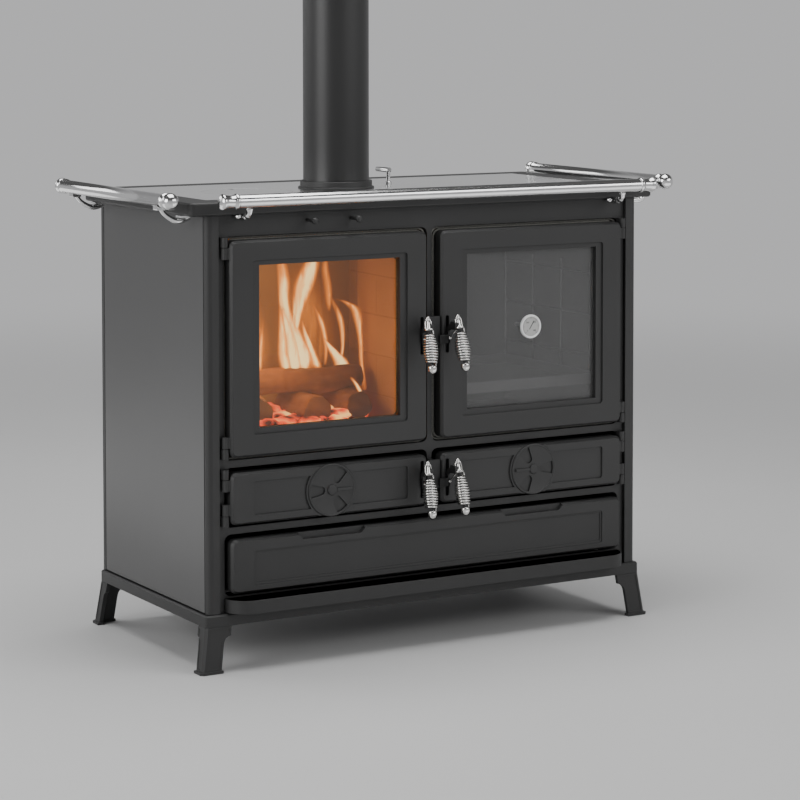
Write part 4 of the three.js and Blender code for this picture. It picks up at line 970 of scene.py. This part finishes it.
rope = textured("glass-fibre rope", "#3f3f3d", "#8b8a84", 3, 1.5, 0.5, (0.9, 1.0),
                stretch=(1, 1, 0.4), IOR=1.45)
for side in ("fire", "oven"):
    pane_x, pane_y, pane_z = plan_of(f"{side}_glass")
    line = line_round((pane_x[0] + 5, pane_x[1] - 5), (pane_z[0] + 5, pane_z[1] - 5),
                      pane_y[1] + 2.6, middle(pane_z), [(0, 8), (8, 0)])
    seal = bmesh.new()
    sweep(seal, line, 2.4, 12)
    goes_with(shaped(seal, f"{side}_glass_rope", rope), f"{side}_door")
    screws(f"{side}_glass_screws", f"{side}_door",
           [(x, 20, z) for x in (pane_x[0] - 9, pane_x[1] + 9)
            for z in (pane_z[0] + 40, pane_z[1] - 40)], TURN_BACK, 4.2, 1.8)

# Two turns of the same rope lie round each frame opening, where the door closes on them.
OPENING_X = (5, 438.5)
OPENING_Z = (390, 805)
for side, hand in (("fire", -1), ("oven", 1)):
    seal = bmesh.new()
    for inset in (2.4, 6.9):
        x, z = [(low + inset, high - inset) for low, high in (OPENING_X, OPENING_Z)]
        line = line_round([hand * a for a in x], z, 22.7, 600,
                          [(0, 12), (hand * 4, 4), (hand * 12, 0)])
        sweep(seal, line, 2.25, 12)
    goes_with(shaped(seal, f"{side}_door_rope", rope), "front_frame")

# ------------------------------------------------------------ oven thermometer
# A turned bezel, plated with satin nickel, holds an enamelled dial with a temperature scale
# under its needle. Its stem passes a hole in the pane.
dial_x, dial_y, dial_z = plan_of("oven_thermometer")
dial_place = (middle(dial_x), dial_y[0], middle(dial_z))
gauge = turn(bmesh.new(), [
    (0, 2.2), (19.6, 2.2), (19.9, 0.9), (20.6, 0.15), (21.8, 0), (22.8, 0.5), (23.3, 1.6),
    (23.3, 5.7), (4, 5.7), (4, 57.4), (3.4, 58.4), (0, 59)], dial_place, "Y", 80)
satin_nickel = textured("satin nickel plate", "#f2f2f2", "#f8f8f8", 20, 0.8, 0.004,
                        (0.30, 0.40), Metallic=0.4)
stands_for(shaped(gauge, "thermometer_case", satin_nickel), "oven_thermometer")
dial_enamel = textured("grey-white dial enamel", "#adadab", "#b9b9b7", 8, 0.5, 0.004,
                       (0.35, 0.45), IOR=1.5)
dial_ink = textured("black dial print", "#111111", "#1b1b1b", 4, 0.5, 0.004,
                    (0.45, 0.55), IOR=1.5)
face = turn(bmesh.new(), [(0, 1.7), (19.2, 1.7), (19.2, 2.1), (0, 2.1)], dial_place, "Y", 80)
goes_with(shaped(face, "thermometer_dial", dial_enamel), "oven_thermometer")


def spun(centre, degrees):
    """Gives places about a centre, turned clockwise as seen from the front."""
    c, s = cos(radians(degrees)), sin(radians(degrees))
    return lambda x, y, z: at(centre[0] + x * c + z * s, centre[1] + y, centre[2] - x * s + z * c)


def mark(work, degrees, inner, outer, width):
    """A short bar across the dial, lying just proud of it, at an angle from straight up."""
    prism(work, [(-width, inner), (width, inner), (width, outer), (-width, outer)], 1.45, 1.68,
          spun(dial_place, degrees))


marks = bmesh.new()
for i in range(31):
    mark(marks, -135 + 9 * i, 15.4 if i % 5 == 0 else 16.8, 18.4, 0.42 if i % 5 == 0 else 0.22)
mark(marks, 32, -6.5, 13.2, 0.75)
goes_with(shaped(marks, "thermometer_scale", dial_ink), "oven_thermometer")
for value, degrees in (("0", -135), ("100", -45), ("200", 45), ("300", 135)):
    figures = bpy.data.curves.new("figures", "FONT")
    figures.body = value
    figures.size = 4.6 * MM
    figures.align_x = "CENTER"
    figures.align_y = "CENTER"
    figures.extrude = 0.1 * MM
    text = placed("figures", figures)
    mesh = evaluated_mesh(text)
    bpy.data.objects.remove(text)
    centre = spun(dial_place, degrees)(0, 1.58, 11.4)
    mesh.transform(Matrix.Translation(centre) @ Matrix.Rotation(pi / 2, 4, "X"))
    goes_with(link(f"thermometer_figure_{value}", mesh, dial_ink), "oven_thermometer")

# ------------------------------------------------------------ small doors and air registers
# The ash and soot doors are castings with a round boss. On each a wheel turns over three
# wedge-shaped air openings; it has a raised rim, a hub and a finger bar.
rounded_copy("ash_door", "ash_door_casting", cast_paint, 1.0)
rounded_copy("soot_door", "soot_door_casting", cast_paint, 1.0)


def wedge(centre, degrees, thickness):
    """The prism of one wedge-shaped air opening, pointing along an angle, to be cut out."""
    tip = [radians(a) for a in range(105, 256, 15)]
    rim = [radians(a) for a in range(-16, 17, 4)]
    outline = [(45 * cos(a), 45 * sin(a)) for a in rim]
    outline += [(23 + 8 * cos(a), 8 * sin(a)) for a in tip]
    return prism(bmesh.new(), outline, -2, thickness + 4, spun(centre, -degrees))


for door, hand in (("ash", -1), ("soot", 1)):
    wheel_x, wheel_y, wheel_z = plan_of(f"{door}_register")
    place = (middle(wheel_x), wheel_y[0], middle(wheel_z))
    wheel = turn(bmesh.new(), [
        (0, 0), (7.6, 0), (8.8, 0.4), (9.8, 1.4), (10, 3.5), (45.6, 3.5), (46.4, 3.1),
        (46.8, 2.6), (47.6, 2.5), (48.6, 2.5), (49.4, 2.8), (50, 3.6), (50, 6.7), (4.4, 6.7),
        (4.4, 2.2), (0, 2.2)], place, "Y")
    openings = [wedge(place, degrees if hand < 0 else 180 - degrees, wheel_y[1] - wheel_y[0])
                for degrees in (60, 180, 300)]
    piece = carved(shaped(wheel, f"{door}_air_wheel", cast_paint), *openings)
    stands_for(round_edges(piece, 0.45, 2, 35), f"{door}_register")
    reach = sorted((place[0] - hand * 9.5, place[0] - hand * 41.5))
    bar = block(bmesh.new(), reach, (wheel_y[0] + 0.9, wheel_y[0] + 3.6),
                (place[2] - 3, place[2] + 3))
    goes_with(round_edges(shaped(bar, f"{door}_finger_bar", cast_paint, 30), 0.7),
              f"{door}_register")

# ------------------------------------------------------------ catches
# A black forged lever turns on a pin in the door slot. It carries a turned grip, wound with a
# coil of nickel-plated wire that stays cool to the hand.
forged = textured("black forged steel", "#151515", "#222222", 20, 1.2, 0.06, (0.35, 0.5),
                  IOR=1.5)
nickel = textured("nickel-plated steel", "#d3d2cf", "#e2e1de", 14, 0.8, 0.003,
                  (0.10, 0.18), Metallic=1.0)
GRIP_CURLS = 11
COLLAR = (23, 26.5)
WIRE = 1.75
STEPS_PER_CURL = 28
grip_offset = Vector((5, -34, 34))
tip_offset = Vector((9, -60, -72))
grip_length = (tip_offset - grip_offset).length
DOME = grip_length - 15


def coil_line():
    """The centre line of the coil down the grip's own axis, in mm."""
    bend, straight = 2.6, 2 * WIRE
    start, end = COLLAR[1] + 0.3, DOME - 0.3
    lead = straight + bend
    wound = end - start - 2 * lead
    steps = GRIP_CURLS * STEPS_PER_CURL

    def radius_at(t):
        return 6.4 + 7.2 * sin(pi * (0.12 + t * 0.66)) ** 1.5

    def point(radius, angle, below):
        return Vector((radius * cos(angle), radius * sin(angle), -below))

    def run_in(radius, edge, start_angle, side):
        """The straight end of the wire and its bend into the first or the last curl."""
        line = [point(radius, start_angle - side * bend / radius, edge),
                point(radius, start_angle - side * bend / radius, edge + side * straight)]
        for degrees in (75, 60, 45, 30, 15):
            a = radians(degrees)
            line.append(point(radius, start_angle - side * bend / radius * sin(a),
                              edge + side * (straight + bend * cos(a))))
        return line

    curls = [point(radius_at(i / steps), tau * GRIP_CURLS * i / steps,
                   start + lead + wound * i / steps) for i in range(steps + 1)]
    return [*run_in(radius_at(0), start, 0, 1), *curls,
            *reversed(run_in(radius_at(1), end, tau * GRIP_CURLS, -1))]


GRIP_PROFILE = [
    (0, -1.5), (1.8, -1.1), (3.2, 0), (4.1, 1.4), (4.3, 3), (3.9, 4.6), (3, 6), (2.6, 7.2),
    (2.9, 12), (3.3, 17), (3.8, 22.6), (8.2, 23), (8.8, 23.5), (8.9, 24.8), (8.6, 26.1),
    (4.8, 26.5), (0, 26.5),
]
ROD_PROFILE = [(0, 26.4), (4.6, 26.4), (4.4, 30), (3.4, 36), (3.4, DOME + 0.1), (0, DOME + 0.1)]
TIP_PROFILE = [
    (0, DOME), (8.3, DOME), (8.8, DOME + 0.6), (9.1, DOME + 3), (8.7, DOME + 6.6),
    (7.6, DOME + 10), (5.6, DOME + 12.6), (2.8, DOME + 14.5), (0, grip_length),
]

def beside(pin, hand):
    """Gives places about a catch pin, x counted away from the middle of the stove."""
    return lambda x, y, z: pin + Vector((hand * x, y, z)) * MM


def on_grip(pin, hand):
    """Gives places on a grip's own axis, z upwards from the top of its core."""
    flip = Matrix.Diagonal((hand, 1, 1))
    top = pin + flip @ grip_offset * MM
    down = (flip @ (tip_offset - grip_offset)).normalized()
    lay = Vector((0, 0, -1)).rotation_difference(down).to_matrix()
    return lambda x, y, z: top + lay @ (Vector((x, y, z)) * MM)


pivots = {joint["child"]: joint["pos_m"] for joint in frame["record"]["behaviour"]["joints"]
          if joint["type"] == "hinge"}
for door, hand in (("fire", -1), ("oven", 1), ("ash", -1), ("soot", 1)):
    pin = Vector(pivots[f"{door}_catch"])
    near_pin, along_grip = beside(pin, hand), on_grip(pin, hand)
    rod, core = bmesh.new(), bmesh.new()
    for work, profile in ((rod, ROD_PROFILE), (core, GRIP_PROFILE), (core, TIP_PROFILE)):
        turn(work, [(r, -below) for r, below in profile], (0, 0, 0), "Z", 36, along_grip)
    goes_with(shaped(rod, f"{door}_grip_rod", forged), f"{door}_lever")
    for side in (-1, 1):
        prong = smooth_path([along_grip(side * x, 0, z) for x, z in (
            (0, -2.5), (5, -7), (6.3, -15), (6.5, -23.6))], 8)
        sweep(core, prong, 1.4, 14)
    sweep(core, smooth_path([near_pin(5, -36, 8), near_pin(1.5, -29, 1), near_pin(0.5, -19, -8),
                             near_pin(0, -14, -11.5)], 10), 1.5, 14)
    bead = bmesh.ops.create_icosphere(core, subdivisions=3, radius=3.3 * MM)["verts"]
    bmesh.ops.translate(core, verts=bead, vec=near_pin(0, -14.4, -11.8))
    stands_for(shaped(core, f"{door}_grip", nickel), f"{door}_lever")

    wire = bmesh.new()
    sweep(wire, [along_grip(*point) for point in coil_line()], WIRE, 14)
    stands_for(shaped(wire, f"{door}_grip_coil", nickel), f"{door}_coil")

    lever = bmesh.new()
    for low, high, outline in (
        (-2.5, 2.5, [(3.9, 2.2), (4.4, 0), (3.6, -2.6), (1.6, -4.2), (-1.0, -4.3), (-2.9, -3.4),
                     (-4.2, -1.6), (-4.4, 0.8), (-3.6, 2.7), (-1.5, 4.2), (0, 4.5), (2.2, 3.9)]),
        (-2.4, 2.4, [(-3.2, -3.2), (-25, 7.6), (-25, 18), (-11, 13), (-1, 4.4)]),
        (-2.5, 2.5, [(-12, -22), (-6.4, -22), (-6.4, 4), (-12, 7)]),
        (-20, 2.4, [(-12, -22), (-6.4, -22), (-6.4, -6), (-12, -6)]),
        (-4, 6, [(-41, 8.5), (-39, 6), (-23, 6), (-21, 8.5), (-21, 18.5), (-23.5, 21),
                 (-38.5, 21), (-41, 18.5)]),
    ):
        prism(lever, outline, low, high, lambda y, x, z: near_pin(x, y, z))
    goes_with(round_edges(shaped(lever, f"{door}_catch_lever", forged, 30), 0.7),
              f"{door}_lever")

# ------------------------------------------------------------ floor and light
# A plain pale floor under a pale room. Large soft lights stand to the left, behind and in
# front, as windows would, with one overhead and two low reflectors.
PALE = "#c0c0c1"


def studio_floor():
    """Matt pale paint that runs out into the pale room a few metres away."""
    material, tree, place = blank_material("pale studio floor")
    shade = shades(tree, clouds(tree, place, 0.8), linear("#c6c6c6"), linear("#cccccc"))
    paint = add(tree, "ShaderNodeBsdfPrincipled",
                {"Base Color": shade, "Roughness": 0.6, "IOR": 1.45})
    far = add(tree, "ShaderNodeVectorMath", {0: place}, operation="LENGTH").outputs["Value"]
    fade = add(tree, "ShaderNodeMapRange", {0: far, 1: 1.2, 2: 6.0},
               interpolation_type="SMOOTHSTEP")
    path = add(tree, "ShaderNodeLightPath").outputs
    seen = reckon(tree, "MAXIMUM", path["Is Camera Ray"], path["Is Glossy Ray"])
    shown = reckon(tree, "MAXIMUM", seen, path["Is Transmission Ray"])
    air = add(tree, "ShaderNodeEmission", {"Color": linear(PALE), "Strength": 1.0})
    return finished(material, "ShaderNodeMixShader",
                    {0: reckon(tree, "MULTIPLY", fade, shown), 1: paint, 2: air})


ground = bmesh.new()
bmesh.ops.create_circle(ground, cap_ends=True, segments=96, radius=60)
floor = shaped(ground, "studio_floor", studio_floor())
floor.data.transform(Matrix.Translation((0, 0, -0.3 * MM)))
if floor.data.polygons[0].normal.z < 0:
    floor.data.flip_normals()

world = bpy.data.worlds.new("pale room")
bpy.context.scene.world = world
world.use_nodes = True
sky = world.node_tree
sky.nodes.clear()
ray = add(sky, "ShaderNodeTexCoord").outputs["Generated"]
height = add(sky, "ShaderNodeSeparateXYZ", {0: ray}).outputs[2]
rise = ramp_of(sky, height, (0.10, PALE), (0.5, "#5c5c5c"))
room = add(sky, "ShaderNodeBackground", {"Strength": 1.0, "Color": rise})
add(sky, "ShaderNodeOutputWorld", {"Surface": room})


def soft_light(name, place, target, size, energy):
    lamp = lamp_at(name, "AREA", place, energy)
    lamp.data.shape = "RECTANGLE"
    lamp.data.size, lamp.data.size_y = size
    lamp.rotation_euler = (Vector(target) - Vector(place)).to_track_quat("-Z", "Y").to_euler()


soft_light("window", (-4.8, -0.8, 2.1), (0, 0, 0.5), (3.0, 2.6), 120)
soft_light("rear window", (-3.0, 3.6, 2.4), (0, 0, 0.8), (3.0, 1.6), 40)
soft_light("front", (2.8, -4.8, 3.1), (0, 0, 0.7), (5.0, 1.9), 115)
soft_light("ceiling", (0, -0.2, 4.4), (0, 0, 0.8), (3.4, 3.4), 180)
soft_light("front reflector", (1.2, -1.4, 0.05), (1.2, -1.4, 1.0), (2.8, 1.4), 10)
soft_light("side reflector", (-1.6, 1.4, 0.05), (-1.6, 1.4, 1.0), (1.5, 2.2), 9)
